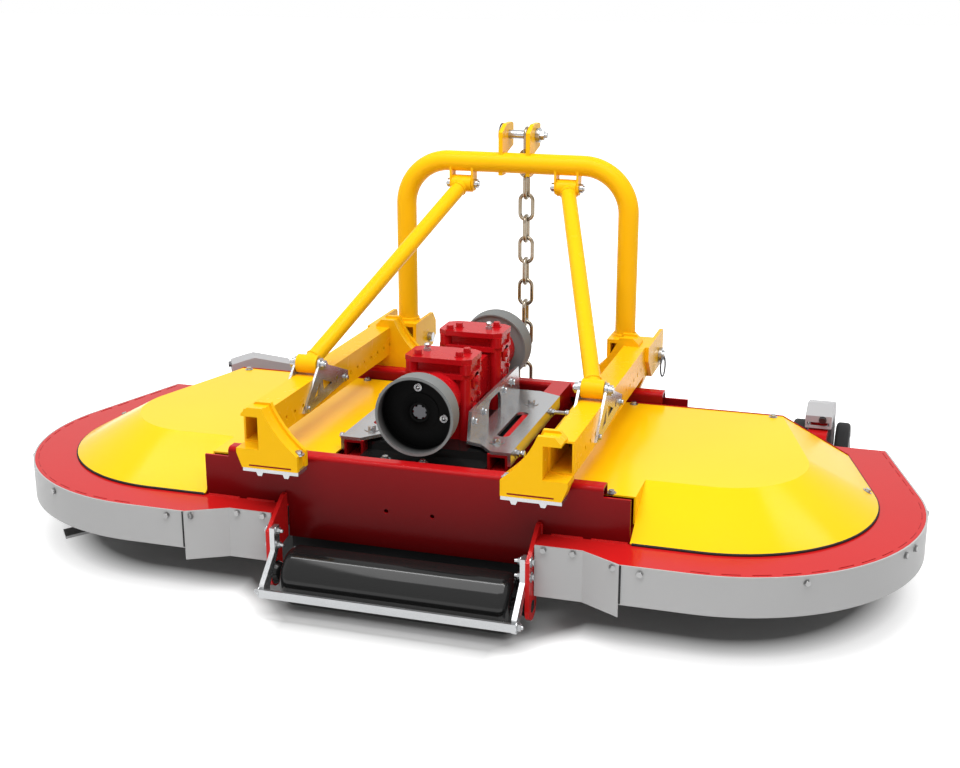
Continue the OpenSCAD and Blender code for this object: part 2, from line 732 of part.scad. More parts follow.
// Cut-out triangular plates on both sides of each rail
gusset_low_z = rail_z + 12;
module gusset_outline() {
  top = stay_foot_z;
  difference() {
    union() {
      translate([stay_foot_y, top]) circle(r = 18);
      polygon([
        [stay_foot_y - 118, gusset_low_z], [stay_foot_y - 92, gusset_low_z - 6],
        [stay_foot_y + 172, gusset_low_z + 12], [stay_foot_y + 172, gusset_low_z + 34],
        [stay_foot_y + 16, top], [stay_foot_y - 17, top]
      ]);
    }
    translate([stay_foot_y, gusset_low_z]) {
      polygon([[-62, 14], [-18, 20], [-12, top - gusset_low_z - 42]]);
      polygon([[4, top - gusset_low_z - 40], [8, 24], [66, 30]]);
    }
    translate([stay_foot_y + 96, gusset_low_z + 32]) circle(r = 8);
  }
}
module stay_gussets() color("silver") both_sides() for (x = [rail_in_x - lug_t, rail_out_x]) difference() {
  slab_yz(x, lug_t) gusset_outline();
  translate([0, stay_foot_y, stay_foot_z]) rod_x(stay_pin_r + seat_gap, x - eps, lug_t + 2 * eps);
}
module stay_pins() color("silver") both_sides() {
  translate([0, stay_foot_y, stay_foot_z]) {
    rod_x(stay_pin_r, rail_in_x - lug_t - 14, rail_w + 2 * lug_t + 28);
    rod_x(stay_pin_r + 5, rail_out_x + lug_t + 0.3, 10);
    rod_x(stay_pin_r + 5, rail_in_x - lug_t - 10.3, 10);
  }
  half = stay_sleeve_l / 2 + lug_t + 0.5;
  translate([stay_head_x, stay_head_y, stay_head_z]) {
    rod_x(stay_pin_r, -half - 14, 2 * half + 28);
    rod_x(stay_pin_r + 5, half + 0.3, 10);
    rod_x(stay_pin_r + 5, -half - 10.3, 10);
  }
}

// Chain

// One link of round wire in the XZ plane, centred, with straight sides
module link(straight) {
  bend_r = chain_w / 2 - chain_wire_r;
  for (s = [-1, 1]) {
    translate([s * bend_r, 0, -straight / 2]) cylinder(r = chain_wire_r, h = straight, $fn = 16);
    translate([0, 0, s * straight / 2]) rotate([90, 0, 0]) rotate([0, 0, s > 0 ? 0 : 180])
      rotate_extrude(angle = 180, $fn = 16) translate([bend_r, 0]) circle(r = chain_wire_r, $fn = 16);
  }
}
chain_inner_half = (chain_pitch + chain_gap) / 2;
chain_straight = 2 * chain_inner_half - chain_w + 4 * chain_wire_r;
chain_top_z = top_pin_z + top_pin_r + chain_gap - chain_inner_half;
module chain() color("goldenrod") for (i = [0:chain_links - 1])
  translate([chain_x, top_pin_y, chain_top_z - i * chain_pitch])
    rotate([0, 0, i % 2 == 0 ? 90 : 0]) link(chain_straight);

// Drive

// X of the gearbox plates' upright flange, which the gearboxes' side bosses meet
seat_in_x = gear_half + 3;
lid_t = 13;
cover_h = 38;
flange_h = 12;
flange_z = gear_top_z - cover_h - flange_h;
gear_inset = 12;
pillar_r = 15;
nose_r = 62;
boss_r = 17;
boss_z = pto_z - 40;
pad_low_z = 430;
pad_h = gear_top_z - lid_t - 1 - pad_low_z;
pad_inset = 18;
link_half = 50;
link_low_z = 400;
// Depth of a guard's web behind its mouth
web_y = cone_l - 8;

// Plan of the gearbox flanges and lids, as (x, depth)
module gear_plan() polygon([
  [-gear_half + 22, 0], [gear_half - 22, 0], [gear_half, 16], [gear_half, gear_d - 16],
  [gear_half - 22, gear_d], [-gear_half + 22, gear_d], [-gear_half, gear_d - 16], [-gear_half, 16]
]);
// Upright pillars at the four corners, set in from the plan's corners
module gear_pillars(inset, z, h) for (x = [-1, 1], d = [inset, gear_d - inset])
  translate([x * (gear_half - inset), d, z]) cylinder(r = pillar_r, h = h);

// Gearbox with its outer face at Y 0: ribbed body, flange, cover with corner pillars, lid and shaft nose
module gearbox(nose_l) color("firebrick") {
  body_half = gear_half - gear_inset;
  cover_inset = gear_inset + 6;
  translate([-body_half, gear_inset, tray_top_z])
    cube([2 * body_half, gear_d - 2 * gear_inset, flange_z - tray_top_z + eps]);
  gear_pillars(pillar_r + 4, tray_top_z, flange_z - tray_top_z + eps);
  translate([0, 0, flange_z]) linear_extrude(flange_h) gear_plan();
  translate([cover_inset - gear_half, cover_inset, flange_z + flange_h - eps])
    cube([2 * (gear_half - cover_inset), gear_d - 2 * cover_inset, cover_h - lid_t + 2 * eps]);
  gear_pillars(pillar_r + 2, flange_z + flange_h - eps, cover_h - lid_t + 2 * eps);
  translate([0, 0, gear_top_z - lid_t]) linear_extrude(lid_t) gear_plan();
  both_sides() {
    translate([body_half - eps, pad_inset, pad_low_z])
      cube([gear_inset - 6 + eps, gear_d - 2 * pad_inset, pad_h]);
    translate([0, gear_d / 2, boss_z]) rod_x(boss_r, body_half - eps, seat_in_x - body_half + eps);
  }
  translate([0, 0, pto_z]) difference() {
    rod_y(nose_r, -nose_l, nose_l + 2 * gear_inset);
    rod_y(pto_r + run_gap, -nose_l - eps, nose_l + eps);
  }
}
module gearbox_near() {
  translate([0, gear_near_y, 0]) gearbox(gear_near_y - near_mouth_y - web_y - cone_wall);
  link_y = gear_near_y + gear_d - 2 * gear_inset;
  color("firebrick") translate([-link_half, link_y, link_low_z])
    cube([2 * link_half, gear_far_y - gear_d + gear_inset - link_y, flange_z - 7 - link_low_z]);
}
module gearbox_far() translate([0, gear_far_y, 0]) rotate([0, 0, 180])
  gearbox(far_mouth_y - gear_far_y - web_y - cone_wall);

// Bent galvanised plates beside the gearboxes: flange, folded outer edge, upright with an opening
slot_x = plate_out_x - 54;
slot_r = 16;
slot_y0 = -127;
slot_y1 = 44;
upright_h = 69;
opening_y0 = -40;
opening_y1 = 70;
opening_r = 26;
module upright_outline() difference() {
  polygon([
    [plate_near_y + 58, seat_z - eps], [plate_near_y + 74, seat_z + upright_h],
    [plate_far_y - 14, seat_z + upright_h], [plate_far_y, seat_z - eps]
  ]);
  for (y = [opening_y0 + opening_r, opening_y1 - opening_r]) translate([y, seat_z + opening_r])
    circle(r = opening_r);
  translate([opening_y0 + opening_r, seat_z + opening_r])
    square([opening_y1 - opening_y0 - 2 * opening_r, opening_r]);
  translate([opening_y0, seat_z]) square([opening_y1 - opening_y0, opening_r]);
}
module gearbox_plate() {
  in_x = seat_in_x;
  difference() {
    translate([0, 0, seat_z - seat_t]) linear_extrude(seat_t) polygon([
      [in_x, plate_near_y + 54], [in_x + 40, plate_near_y + 43], [in_x + 76, plate_near_y],
      [plate_out_x, plate_near_y], [plate_out_x, plate_far_y - 28], [plate_out_x - 60, plate_far_y],
      [in_x, plate_far_y]
    ]);
    translate([slot_x, 0, seat_z - 2 * seat_t]) {
      for (y = [slot_y0, slot_y1]) translate([0, y, 0]) cylinder(r = slot_r, h = 3 * seat_t);
      translate([-slot_r, slot_y0, 0]) cube([2 * slot_r, slot_y1 - slot_y0, 3 * seat_t]);
    }
  }
  translate([plate_out_x - seat_t, plate_near_y, seat_z - seat_t - 26])
    cube([seat_t, plate_far_y - 28 - plate_near_y, 26 + eps]);
  slab_yz(in_x, seat_t) upright_outline();
}
module gearbox_plates() color("silver") both_sides() gearbox_plate();

// Guard round a drive stub: a ring with a little draft and a web behind its mouth, which is at Y 0
module cone() color("gray") rotate([-90, 0, 0]) {
  bore_r = cone_r - cone_draft - cone_wall;
  difference() {
    cylinder(r1 = cone_r, r2 = cone_r - cone_draft, h = cone_l);
    translate([0, 0, -eps]) cylinder(r = bore_r, h = web_y + eps);
    translate([0, 0, web_y + cone_wall]) cylinder(r = bore_r, h = cone_l);
    translate([0, 0, web_y - eps]) cylinder(r = nose_r - 20, h = cone_l);
  }
}
module cone_near() translate([0, near_mouth_y, pto_z]) cone();
module cone_far() translate([0, far_mouth_y, pto_z]) rotate([0, 0, 180]) cone();

// Splined stub of length l that ends at Y 0
module pto(l) color("silver") difference() {
  rod_y(pto_r, 0, l);
  for (i = [0:5]) rotate([0, 60 * i, 0]) translate([pto_r - 3, -eps, -3]) cube([6, l - 30, 6]);
}
module pto_near() translate([0, near_mouth_y + stub_depth, pto_z])
  pto(gear_near_y - 0.3 - near_mouth_y - stub_depth);
module pto_far() translate([0, far_mouth_y - stub_depth, pto_z]) rotate([0, 0, 180])
  pto(far_mouth_y - stub_depth - gear_far_y - 0.3);

// Roller

module roller() color("#202020") translate([0, roller_y, roller_r]) {
  rotate([0, 90, 0]) rotate_extrude() difference() {
    translate([0, -roller_half]) square([roller_r, 2 * roller_half]);
    for (s = [-1, 1]) difference() {
      translate([roller_r - roller_round, s > 0 ? roller_half - roller_round : -roller_half - eps])
        square([roller_round + eps, roller_round + eps]);
      translate([roller_r - roller_round, s * (roller_half - roller_round)]) circle(r = roller_round);
    }
  }
  both_sides() rod_x(roller_stub_r, roller_half - eps, cheek_x + cheek_t - roller_half + eps);
}

// Side plates that carry the roller
cheek_round_r = 33;
cheek_top_z = deck_top_z + 29;
cheek_shoulder_z = deck_top_z - 31;
module roller_plates() color("firebrick") both_sides() difference() {
  slab_yz(cheek_x, cheek_t) {
    polygon([
      [near_plate_y, apron_z], [near_plate_y, cheek_top_z], [near_plate_y - 14, cheek_top_z],
      [roller_y - cheek_round_r, cheek_shoulder_z], [roller_y - cheek_round_r, roller_r],
      [roller_y + cheek_round_r, roller_r], [roller_y + cheek_round_r, apron_z - 6]
    ]);
    translate([roller_y, roller_r]) circle(r = cheek_round_r);
  }
  translate([0, roller_y, roller_r]) rod_x(roller_stub_r + run_gap, cheek_x - eps, cheek_t + 2 * eps);
}

// Arms from the side plates to the scraper bar, each with an upright head and a slanted leg
arm_top_z = deck_top_z - 23;
arm_knee_z = deck_top_z - 75;
module roller_arms() color("silver") both_sides() slab_yz(cheek_x - arm_t, arm_t) polygon([
  [roller_y - cheek_round_r, arm_top_z], [roller_y - 3, arm_top_z], [roller_y - 3, arm_knee_z + 4],
  [scraper_y + 40, scraper_z + 12], [scraper_y + 40, scraper_z - 6], [scraper_y + 8, scraper_z - 6],
  [scraper_y + 8, scraper_z + scraper_h + 8], [roller_y - cheek_round_r, arm_knee_z - 4]
]);
module scraper_bar() color("silver") translate([-cheek_x, scraper_y, scraper_z])
  cube([2 * cheek_x, 8, scraper_h]);

// Rotors

module spindle_housings() color("firebrick") both_sides() translate([rotor_x, 0, 0]) difference() {
  low = knife_z + 62;
  union() {
    translate([0, 0, low]) cylinder(r = housing_r, h = deck_top_z + 12 - low);
    translate([0, 0, deck_top_z]) cylinder(r = housing_r + 25, h = 12);
  }
  translate([0, 0, low - eps]) cylinder(r = spindle_r + run_gap, h = deck_top_z + 12 - low + 2 * eps);
}
// Disc with its hub, shaft and the shallow dish below it
module disc() color("dimgray") {
  z = knife_z + 7;
  translate([0, 0, z]) cylinder(r = disc_r, h = disc_t);
  translate([0, 0, z + disc_t - eps]) cylinder(r1 = 120, r2 = housing_r, h = 42);
  translate([0, 0, z]) cylinder(r = spindle_r, h = deck_top_z + 30 - z);
  translate([0, 0, z - 26]) cylinder(r1 = 90, r2 = 190, h = 26 + eps);
}
module disc_right() translate([rotor_x, 0, 0]) disc();
module disc_left() translate([-rotor_x, 0, 0]) disc();
// Two knives under the disc's edge
knife_w = 50;
module knives(turn) color("silver") for (i = [0:1]) rotate([0, 0, turn + 180 * i])
  translate([0, 0, knife_z]) linear_extrude(7) polygon([
    [disc_r - 70, -knife_w / 2], [knife_tip_r - 16, -knife_w / 2], [knife_tip_r - 3, knife_w / 2],
    [disc_r - 70, knife_w / 2]
  ]);
module knives_right() translate([rotor_x, 0, 0]) knives(knife_turn_right);
module knives_left() translate([-rotor_x, 0, 0]) knives(knife_turn_left);

// Castors

// Arm from the deck's edge to an upright pivot tube
module castor_arms() color("firebrick") both_sides() difference() {
  union() {
    translate([castor_x, castor_y, pivot_low_z])
      cylinder(r = pivot_tube_r, h = pivot_top_z - pivot_low_z);
    translate([castor_x, castor_y, deck_top_z]) cylinder(r = arm_half, h = 24);
    translate([castor_x - arm_half, arm_root_y, deck_top_z])
      cube([2 * arm_half, castor_y - arm_root_y, 24]);
  }
  translate([castor_x, castor_y, pivot_low_z - 20]) cylinder(r = pivot_r + run_gap, h = pivot_top_z);
}
// Arched yoke of folded sheet, drawn trailing towards +Y from its pivot at the origin:
// a bearing plate on the pivot tube, a sloping front over a strap, an arch and two legs to the axle
fork_front_y = -36;
fork_strap_z = deck_top_z + 30;
axle_r = 12;
module fork_side_outline() {
  leg = castor_trail + 34;
  polygon([
    [fork_front_y, fork_strap_z], [fork_front_y, pivot_top_z + 16], [0, fork_top_z - 8],
    [34, fork_top_z], [castor_trail - 10, fork_top_z - 26], [leg, fork_top_z - 60],
    [leg, castor_axle_z + 24], [castor_trail + 24, castor_axle_z - 20],
    [castor_trail - 24, castor_axle_z - 20], [castor_trail - 30, fork_top_z - 84],
    [castor_trail - 66, fork_top_z - 46], [44, fork_strap_z]
  ]);
}
module fork_inside_outline() {
  back = castor_trail + 34 - fork_t;
  plate_z = pivot_top_z + 0.3;
  polygon([
    [fork_front_y + fork_t, 0], [fork_front_y + fork_t, plate_z], [34, plate_z], [34, plate_z + fork_t],
    [fork_front_y + fork_t, plate_z + fork_t], [fork_front_y + fork_t, pivot_top_z + 16 - fork_t],
    [0, fork_top_z - 8 - fork_t], [34, fork_top_z - fork_t], [castor_trail - 12, fork_top_z - 26 - fork_t],
    [back, fork_top_z - 60 - fork_t], [back, 0]
  ]);
}
module fork() color("lightgray") {
  inside_w = fork_w - 2 * fork_t;
  difference() {
    slab_yz(-fork_w / 2, fork_w) fork_side_outline();
    slab_yz(-inside_w / 2, inside_w) fork_inside_outline();
    translate([-inside_w / 2, fork_front_y - eps, fork_strap_z + 7]) cube([inside_w, fork_t + 2 * eps, 10]);
    translate([0, castor_trail, castor_axle_z]) rod_x(axle_r + run_gap, -fork_w, 2 * fork_w);
  }
  translate([0, 0, pivot_low_z - 8]) cylinder(r = pivot_r, h = pivot_top_z - pivot_low_z + 8 + fork_t);
}
// Twin tyres on one axle, each with a round shoulder and a dished wheel
tyre_round = 10;
rim_r = 62;
hub_r = 28;
dish = 8;
module tyre_section(inner_y) difference() {
  translate([0, inner_y]) square([castor_r, castor_tyre_w]);
  for (s = [0, 1]) difference() {
    translate([castor_r - tyre_round, inner_y + (s > 0 ? castor_tyre_w - tyre_round : -eps)])
      square(tyre_round + eps);
    translate([castor_r - tyre_round, inner_y + (s > 0 ? castor_tyre_w - tyre_round : tyre_round)])
      circle(r = tyre_round);
  }
  translate([hub_r, inner_y + castor_tyre_w - dish]) square([rim_r - hub_r, dish + eps]);
  translate([hub_r, inner_y - eps]) square([rim_r - hub_r, dish + eps]);
}
module wheels() color("#252525") translate([0, castor_trail, castor_axle_z]) {
  gap = 5;
  both_sides() rotate([0, 90, 0]) rotate_extrude() tyre_section(fork_w / 2 + gap);
  rod_x(axle_r, -fork_w / 2 - gap - eps, fork_w + 2 * gap + 2 * eps);
}
module at_castor(side) translate([side * castor_x, castor_y, 0])
  rotate([0, 0, side > 0 ? 0 : castor_turn_left]) children();
module fork_right() at_castor(1) fork();
module fork_left() at_castor(-1) fork();
module wheels_right() at_castor(1) wheels();
module wheels_left() at_castor(-1) wheels();

placed() deck();
placed() near_beam();
placed() far_beam();
placed() centre_frame();
placed() hood_left();
placed() hood_right();
placed() skirt_left();
placed() skirt_right();
placed() deflectors();
placed() roller_plates();
placed() roller_arms();
placed() scraper_bar();
placed() rail_left();
placed() rail_right();
placed() near_brackets();
placed() far_brackets();
placed() clamp_plates();
placed() hoop();
placed() hitch_feet();
placed() link_plates();
placed() lower_pins();
placed() top_ears();
placed() top_pin();
placed() stay_left();
placed() stay_right();
placed() stay_lugs();
placed() stay_pins();
placed() stay_gussets();
placed() chain();
placed() gearbox_near();
placed() gearbox_far();
placed() gearbox_plates();
placed() gear_tray();
placed() cone_near();
placed() cone_far();
placed() castor_arms();
placed() spindle_housings();
placed() roller();
placed() disc_left();
placed() disc_right();
placed() knives_left();
placed() knives_right();
placed() pto_near();
placed() pto_far();
placed() fork_left();
placed() fork_right();
placed() wheels_left();
placed() wheels_right();
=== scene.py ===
"""Disc mower: paint and metal finishes, fasteners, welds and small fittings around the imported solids."""

import json
import math

import bmesh
import bpy
import numpy as np
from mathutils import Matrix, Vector


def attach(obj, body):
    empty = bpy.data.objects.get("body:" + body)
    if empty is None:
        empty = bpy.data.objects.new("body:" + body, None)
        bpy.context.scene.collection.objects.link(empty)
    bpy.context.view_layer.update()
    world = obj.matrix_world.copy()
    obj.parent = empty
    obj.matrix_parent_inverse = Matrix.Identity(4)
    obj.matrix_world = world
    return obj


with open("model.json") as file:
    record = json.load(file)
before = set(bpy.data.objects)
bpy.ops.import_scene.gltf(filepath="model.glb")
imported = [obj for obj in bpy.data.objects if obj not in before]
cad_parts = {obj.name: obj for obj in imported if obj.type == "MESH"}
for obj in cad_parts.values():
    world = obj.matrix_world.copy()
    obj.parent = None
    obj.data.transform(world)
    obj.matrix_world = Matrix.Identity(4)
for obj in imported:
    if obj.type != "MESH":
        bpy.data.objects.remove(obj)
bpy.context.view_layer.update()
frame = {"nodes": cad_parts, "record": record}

# Sizes in millimetres, in the solids' own frame, whose Y counts from the line through the rotor axes
MID_Y = 124.5
ROTOR_X = 682.5
DECK_Z = 221.0
DECK_END_R = 487.5
DECK_SLANT = math.radians(15.84)
SKIRT_H = 94.0
SEAM_X = 532.0
HOOD_TOP_Z = 318.0
HOOD_LOW_Z = 226.0
HOOD_RIM_R = 375.0
HOOD_FOLD_R = 205.0
HOOD_FAR_Y = 375.0
HOOD_IN_X = 392.0
BEAM_Y = -367.0
DRIVE_Z = 458.0
GUARD_R = 97.0
NEAR_MOUTH_Y = -325.0
FAR_MOUTH_Y = 370.0
WEB_DEPTH = 47.0
LID_Z = 556.0
PAD_X = 80.0
GEAR_NEAR_Y = -160.0
GEAR_FAR_Y = 212.0
GEAR_DEPTH = 110.0
PLATE_X = 216.0
PLATE_Z = 367.0
UPRIGHT_X = 97.0
TRAY_Z = 330.0
GUSSET_OUT_X = 409.5
GUSSET_IN_X = 337.5
HOOP_X = 325.0
HOOP_Y = 536.0
SLEEVE_R = 33.0
FOOT_TOP_Z = 470.0
LINK_PIN = (427.0, 597.0, 397.0)
TOP_PIN = (-54.0, 590.0, 1009.0)
STAY_FOOT = (373.5, -79.0, 489.0)
STAY_HEAD = (152.0, 531.0, 874.0)
STAY_R = 21.0
CHEEK_X = 313.0
CHEEK_T = 10.0
ARM_T = 12.0
FLAP_Y = -352.0
FLAP_T = 5.0
FLAP_TOP_Z = 158.0
FLAP_DROP = 96.0
FLAP_WAVE = 5.0
FLAP_PITCH = 38.0
ROLLER_Y = -439.0
ROLLER_Z = 72.0
CASTOR_X = 875.0
CASTOR_Y = 540.0
TRAIL = 150.0
AXLE_Z = 105.0
FORK_FRONT = 36.0
FORK_BOLT_X = 11.0
FORK_BOLT_Z = 276.0
WHEEL_OUT = 79.5
KNIFE_BOLT_R = 262.0
DISC_TOP_Z = 73.0
SIDES = (-1.0, 1.0)
UP = (0.0, 0.0, 1.0)
AHEAD = (0.0, 1.0, 0.0)
NEAR = (0.0, -1.0, 0.0)

# Side, name and swivel of each castor as it stands
CASTORS = ((-1.0, "left", math.radians(-60.0)), (1.0, "right", 0.0))

# Camera: place in metres, direction from its aim back to it, lens and sensor in millimetres
CAMERA_SPOT = (1.0802, -3.4188, 1.4914)
CAMERA_BACK = (0.2828, -0.9147, 0.2889)
CAMERA_LENS = 53.248
CAMERA_SENSOR = 36.0
CAMERA_REACH = 100.0

# Lamps: place, aim and size in metres, power in watts
LAMPS = {
    "overhead": ((0.3, -1.5, 4.2), (0.0, 0.0, 0.3), (4.5, 3.2), 160.0),
    "strip": ((0.0, -0.56, 3.4), (0.0, -0.56, 0.0), (3.4, 0.16), 22.0),
    "side_right": ((2.25, 1.3, 3.4), (0.75, 0.0, 0.25), (0.35, 1.2), 9.0),
    "side_left": ((-2.4, 0.2, 3.4), (-0.75, 0.0, 0.25), (0.35, 1.2), 9.0),
}

# Surroundings: strength at the horizon, strength overhead, and the rise at which that is reached
SKY_LOW = 0.27
SKY_HIGH = 0.6
SKY_RISE = 0.8

# Floor: half its side, and from the middle of the machine's box back to the middle of its deck, in metres
FLOOR_HALF = 30.0
FLOOR_MID = 0.05

# Floor colours for bounced light and for what the camera sees
FLOOR_LIT = (0.9, 0.9, 0.9)
FLOOR_SEEN = (0.5, 0.5, 0.5)

# Floor's own light by the distance in metres from the deck's middle line, which paints the machine's
# shadow on the floor: dim under
# # the deck, steep past its edge and then slow to white. END_SQUEEZE draws the painted shadow's round ends
# in
GLOW_UNDER = 0.02
GLOW_EDGE = 0.66
GLOW_AWAY = 0.4
GLOW_START = 0.412
GLOW_BEND = 0.512
GLOW_END = 1.0
END_SQUEEZE = 1.12

# How far the roller moves that painted shadow out, and where this fades across the machine and behind the
# roller
ROLLER_SHADE = 0.2
ROLLER_SHADE_X = (0.25, 0.43)
ROLLER_SHADE_Y = (-0.4, 0.0)

# Camera


def place_camera():
    """Camera at the photograph's place, from a fit of spot, lens and direction to the machine's edges."""
    data = bpy.data.cameras.new("camera")
    data.sensor_fit = "HORIZONTAL"
    data.sensor_width = CAMERA_SENSOR
    data.lens = CAMERA_LENS
    data.clip_end = CAMERA_REACH
    camera = bpy.data.objects.new("camera", data)
    bpy.context.scene.collection.objects.link(camera)
    camera.location = CAMERA_SPOT
    camera.rotation_mode = "QUATERNION"
    camera.rotation_quaternion = (-Vector(CAMERA_BACK)).to_track_quat("-Z", "Y")
    bpy.context.scene.camera = camera


# Node helpers for the finishes


class Finish:
    """One material: its node tree, its shader and its Object coordinates."""

    def __init__(self, name):
        self.material = bpy.data.materials.new(name)
        self.material.use_nodes = True
        self.tree = self.material.node_tree
        self.shader = self.tree.nodes["Principled BSDF"]
        self.place = self.node("ShaderNodeTexCoord").outputs["Object"]

    def node(self, kind):
        return self.tree.nodes.new(kind)

    def link(self, source, target):
        self.tree.links.new(source, target)

    def set(self, socket, value):
        self.shader.inputs[socket].default_value = value

    def drive(self, source, socket):
        self.link(source, self.shader.inputs[socket])

    def math(self, operation, first, second=0.0):
        """Result of a math node on one or two inputs, each a number or a socket."""
        node = self.node("ShaderNodeMath")
        node.operation = operation
        for socket, value in zip(node.inputs, (first, second)):
            if isinstance(value, bpy.types.NodeSocket):
                self.link(value, socket)
            else:
                socket.default_value = value
        return node.outputs[0]

    def noise(self, scale, detail=2.0, stretch=(1.0, 1.0, 1.0)):
        """Noise from 0 to 1 on Object coordinates, stretched along the axes."""
        mapping = self.node("ShaderNodeMapping")
        mapping.inputs["Scale"].default_value = stretch
        self.link(self.place, mapping.inputs["Vector"])
        texture = self.node("ShaderNodeTexNoise")
        texture.inputs["Scale"].default_value = scale
        texture.inputs["Detail"].default_value = detail
        self.link(mapping.outputs["Vector"], texture.inputs["Vector"])
        return texture.outputs["Fac"]

    def cells(self, scale):
        """Random value per Voronoi cell, for the spangle of a zinc coat."""
        texture = self.node("ShaderNodeTexVoronoi")
        texture.inputs["Scale"].default_value = scale
        self.link(self.place, texture.inputs["Vector"])
        split = self.node("ShaderNodeSeparateColor")
        self.link(texture.outputs["Color"], split.inputs["Color"])
        return split.outputs["Red"]

    def span(self, value, low, high, start=0.3, end=0.7):
        """Value between start and end, spread from low to high and held there outside."""
        reach = self.node("ShaderNodeMapRange")
        reach.inputs["From Min"].default_value = start
        reach.inputs["From Max"].default_value = end
        reach.inputs["To Min"].default_value = low
        reach.inputs["To Max"].default_value = high
        self.link(value, reach.inputs["Value"])
        return reach.outputs["Result"]

    def blend(self, factor, first, second):
        """Colour between first and second, each a colour or a socket."""
        mix = self.node("ShaderNodeMix")
        mix.data_type = "RGBA"
        self.link(factor, mix.inputs["Factor"])
        for socket, colour in ((mix.inputs[6], first), (mix.inputs[7], second)):
            if isinstance(colour, bpy.types.NodeSocket):
                self.link(colour, socket)
            else:
                socket.default_value = (*colour, 1.0)
        return mix.outputs[2]

    def axis(self, name):
        """One of the three Object coordinates, in metres."""
        split = self.node("ShaderNodeSeparateXYZ")
        self.link(self.place, split.inputs["Vector"])
        return split.outputs[name]

    def upward(self):
        """How far a face looks up: the upright part of its normal, from -1 to 1."""
        split = self.node("ShaderNodeSeparateXYZ")
        self.link(self.node("ShaderNodeNewGeometry").outputs["Normal"], split.inputs["Vector"])
        return split.outputs["Z"]

    def colour(self):
        """Socket that gives the base colour so far."""
        return self.shader.inputs["Base Color"].links[0].from_socket

    def bump(self, height, distance):
        """Bump of the given height in metres, fed to the shader's normal."""
        bump = self.node("ShaderNodeBump")
        bump.inputs["Distance"].default_value = distance
        self.link(height, bump.inputs["Height"])
        self.drive(bump.outputs["Normal"], "Normal")


def shade(colour, factor):
    """Colour made darker or lighter by a factor."""
    return tuple(min(1.0, channel * factor) for channel in colour)


def painted(name, colour, rough=0.32, peel=0.000004, drift=0.03, gloss=0.5):
    """Sprayed paint: slow drift of tone, fine speckle in the gloss and orange peel."""
    finish = Finish(name)
    tone = finish.span(finish.noise(scale=2.2, detail=3.0), 0.0, 1.0)
    dark = shade(colour, 1.0 - drift)
    light = shade(colour, 1.0 + drift)
    finish.drive(finish.blend(tone, dark, light), "Base Color")
    speckle = finish.noise(scale=40.0, detail=3.0)
    finish.drive(finish.span(speckle, rough - 0.015, rough + 0.02), "Roughness")
    finish.set("Specular IOR Level", gloss)
    finish.bump(finish.noise(scale=130.0, detail=1.0), peel)
    return finish


def paint(name, colour, **look):
    """Material of a sprayed paint."""
    return painted(name, colour, **look).material


def zinc(name, light, dark, rough=0.3, spangle=160.0, metal=0.85):
    """Zinc coat: faint spangle cells between two greys, cloudy gloss and a fine brushed grain."""
    finish = Finish(name)
    cloud = finish.span(finish.noise(scale=9.0, detail=3.0), 0.0, 0.8)
    tone = finish.math("ADD", cloud, finish.math("MULTIPLY", finish.cells(spangle), 0.2))
    finish.drive(finish.blend(tone, dark, light), "Base Color")
    haze = finish.noise(scale=18.0, detail=3.0)
    finish.drive(finish.span(haze, rough - 0.03, rough + 0.04), "Roughness")
    finish.set("Metallic", metal)
    grain = finish.noise(scale=160.0, detail=1.0, stretch=(1.0, 5.0, 5.0))
    finish.bump(grain, 0.000002)
    return finish.material


def underside_shaded_paint(name, colour, shade_colour):
    """Gloss paint with painted shade: faces that look down are darkened to a near-black shade colour."""
    finish = painted(name, colour, rough=0.14, gloss=0.11)
    # Painted shade: the mask darkens every face that looks down
    shade_mask = finish.span(finish.upward(), 1.0, 0.0, -0.9, -0.5)
    finish.drive(finish.blend(shade_mask, finish.colour(), shade_colour), "Base Color")
    return finish.material


def lit_and_shaded_paint(name, low, high, top):
    """Beam paint with painted light and shade: darker towards the ground, brighter higher up and painted
    paler where a face looks up.
    """
    finish = painted(name, high, rough=0.2, gloss=0.08)
    # Painted shade towards the ground, and painted light on faces that look up
    rise = finish.span(finish.axis("Z"), 0.0, 1.0, 0.14, 0.36)
    lit_facing = finish.span(finish.upward(), 0.0, 1.0, 0.2, 0.9)
    upright = finish.blend(rise, low, finish.colour())
    finish.drive(finish.blend(lit_facing, upright, top), "Base Color")
    return finish.material


def guard_plastic(name, outside, mouth_shade, inside):
    """Moulded guard: grey and grained, with painted shade inside that deepens to black on the web. The
    inside is told by the distance from the drive's axis and from the middle between both webs."""
    finish = painted(name, outside, rough=0.55, peel=0.00004, gloss=0.06)
    across = finish.math("POWER", finish.axis("X"), 2.0)
    height = finish.math("SUBTRACT", finish.axis("Z"), DRIVE_Z / 1000.0)
    reach = finish.math("SQRT", finish.math("ADD", across, finish.math("POWER", height, 2.0)))
    middle = ((NEAR_MOUTH_Y + FAR_MOUTH_Y) / 2.0 - MID_Y) / 1000.0
    web = ((FAR_MOUTH_Y - NEAR_MOUTH_Y) / 2.0 - WEB_DEPTH - 1.0) / 1000.0
    bore = (GUARD_R - 6.0) / 1000.0
    along = finish.math("ABSOLUTE", finish.math("SUBTRACT", finish.axis("Y"), middle))
    outer = finish.span(reach, 0.0, 1.0, bore, bore + 0.0005)
    behind = finish.span(along, 1.0, 0.0, web - 0.0005, web)
    lit = finish.span(along, 0.0, 1.0, web + 0.016, web + WEB_DEPTH / 1000.0)
    bare = finish.math("MAXIMUM", outer, behind)
    # Painted shade in the guard's hollow: dark grey at the mouth, near black deeper in
    hollow_shade = finish.blend(lit, inside, mouth_shade)
    finish.drive(finish.blend(bare, hollow_shade, finish.colour()), "Base Color")
    return finish.material


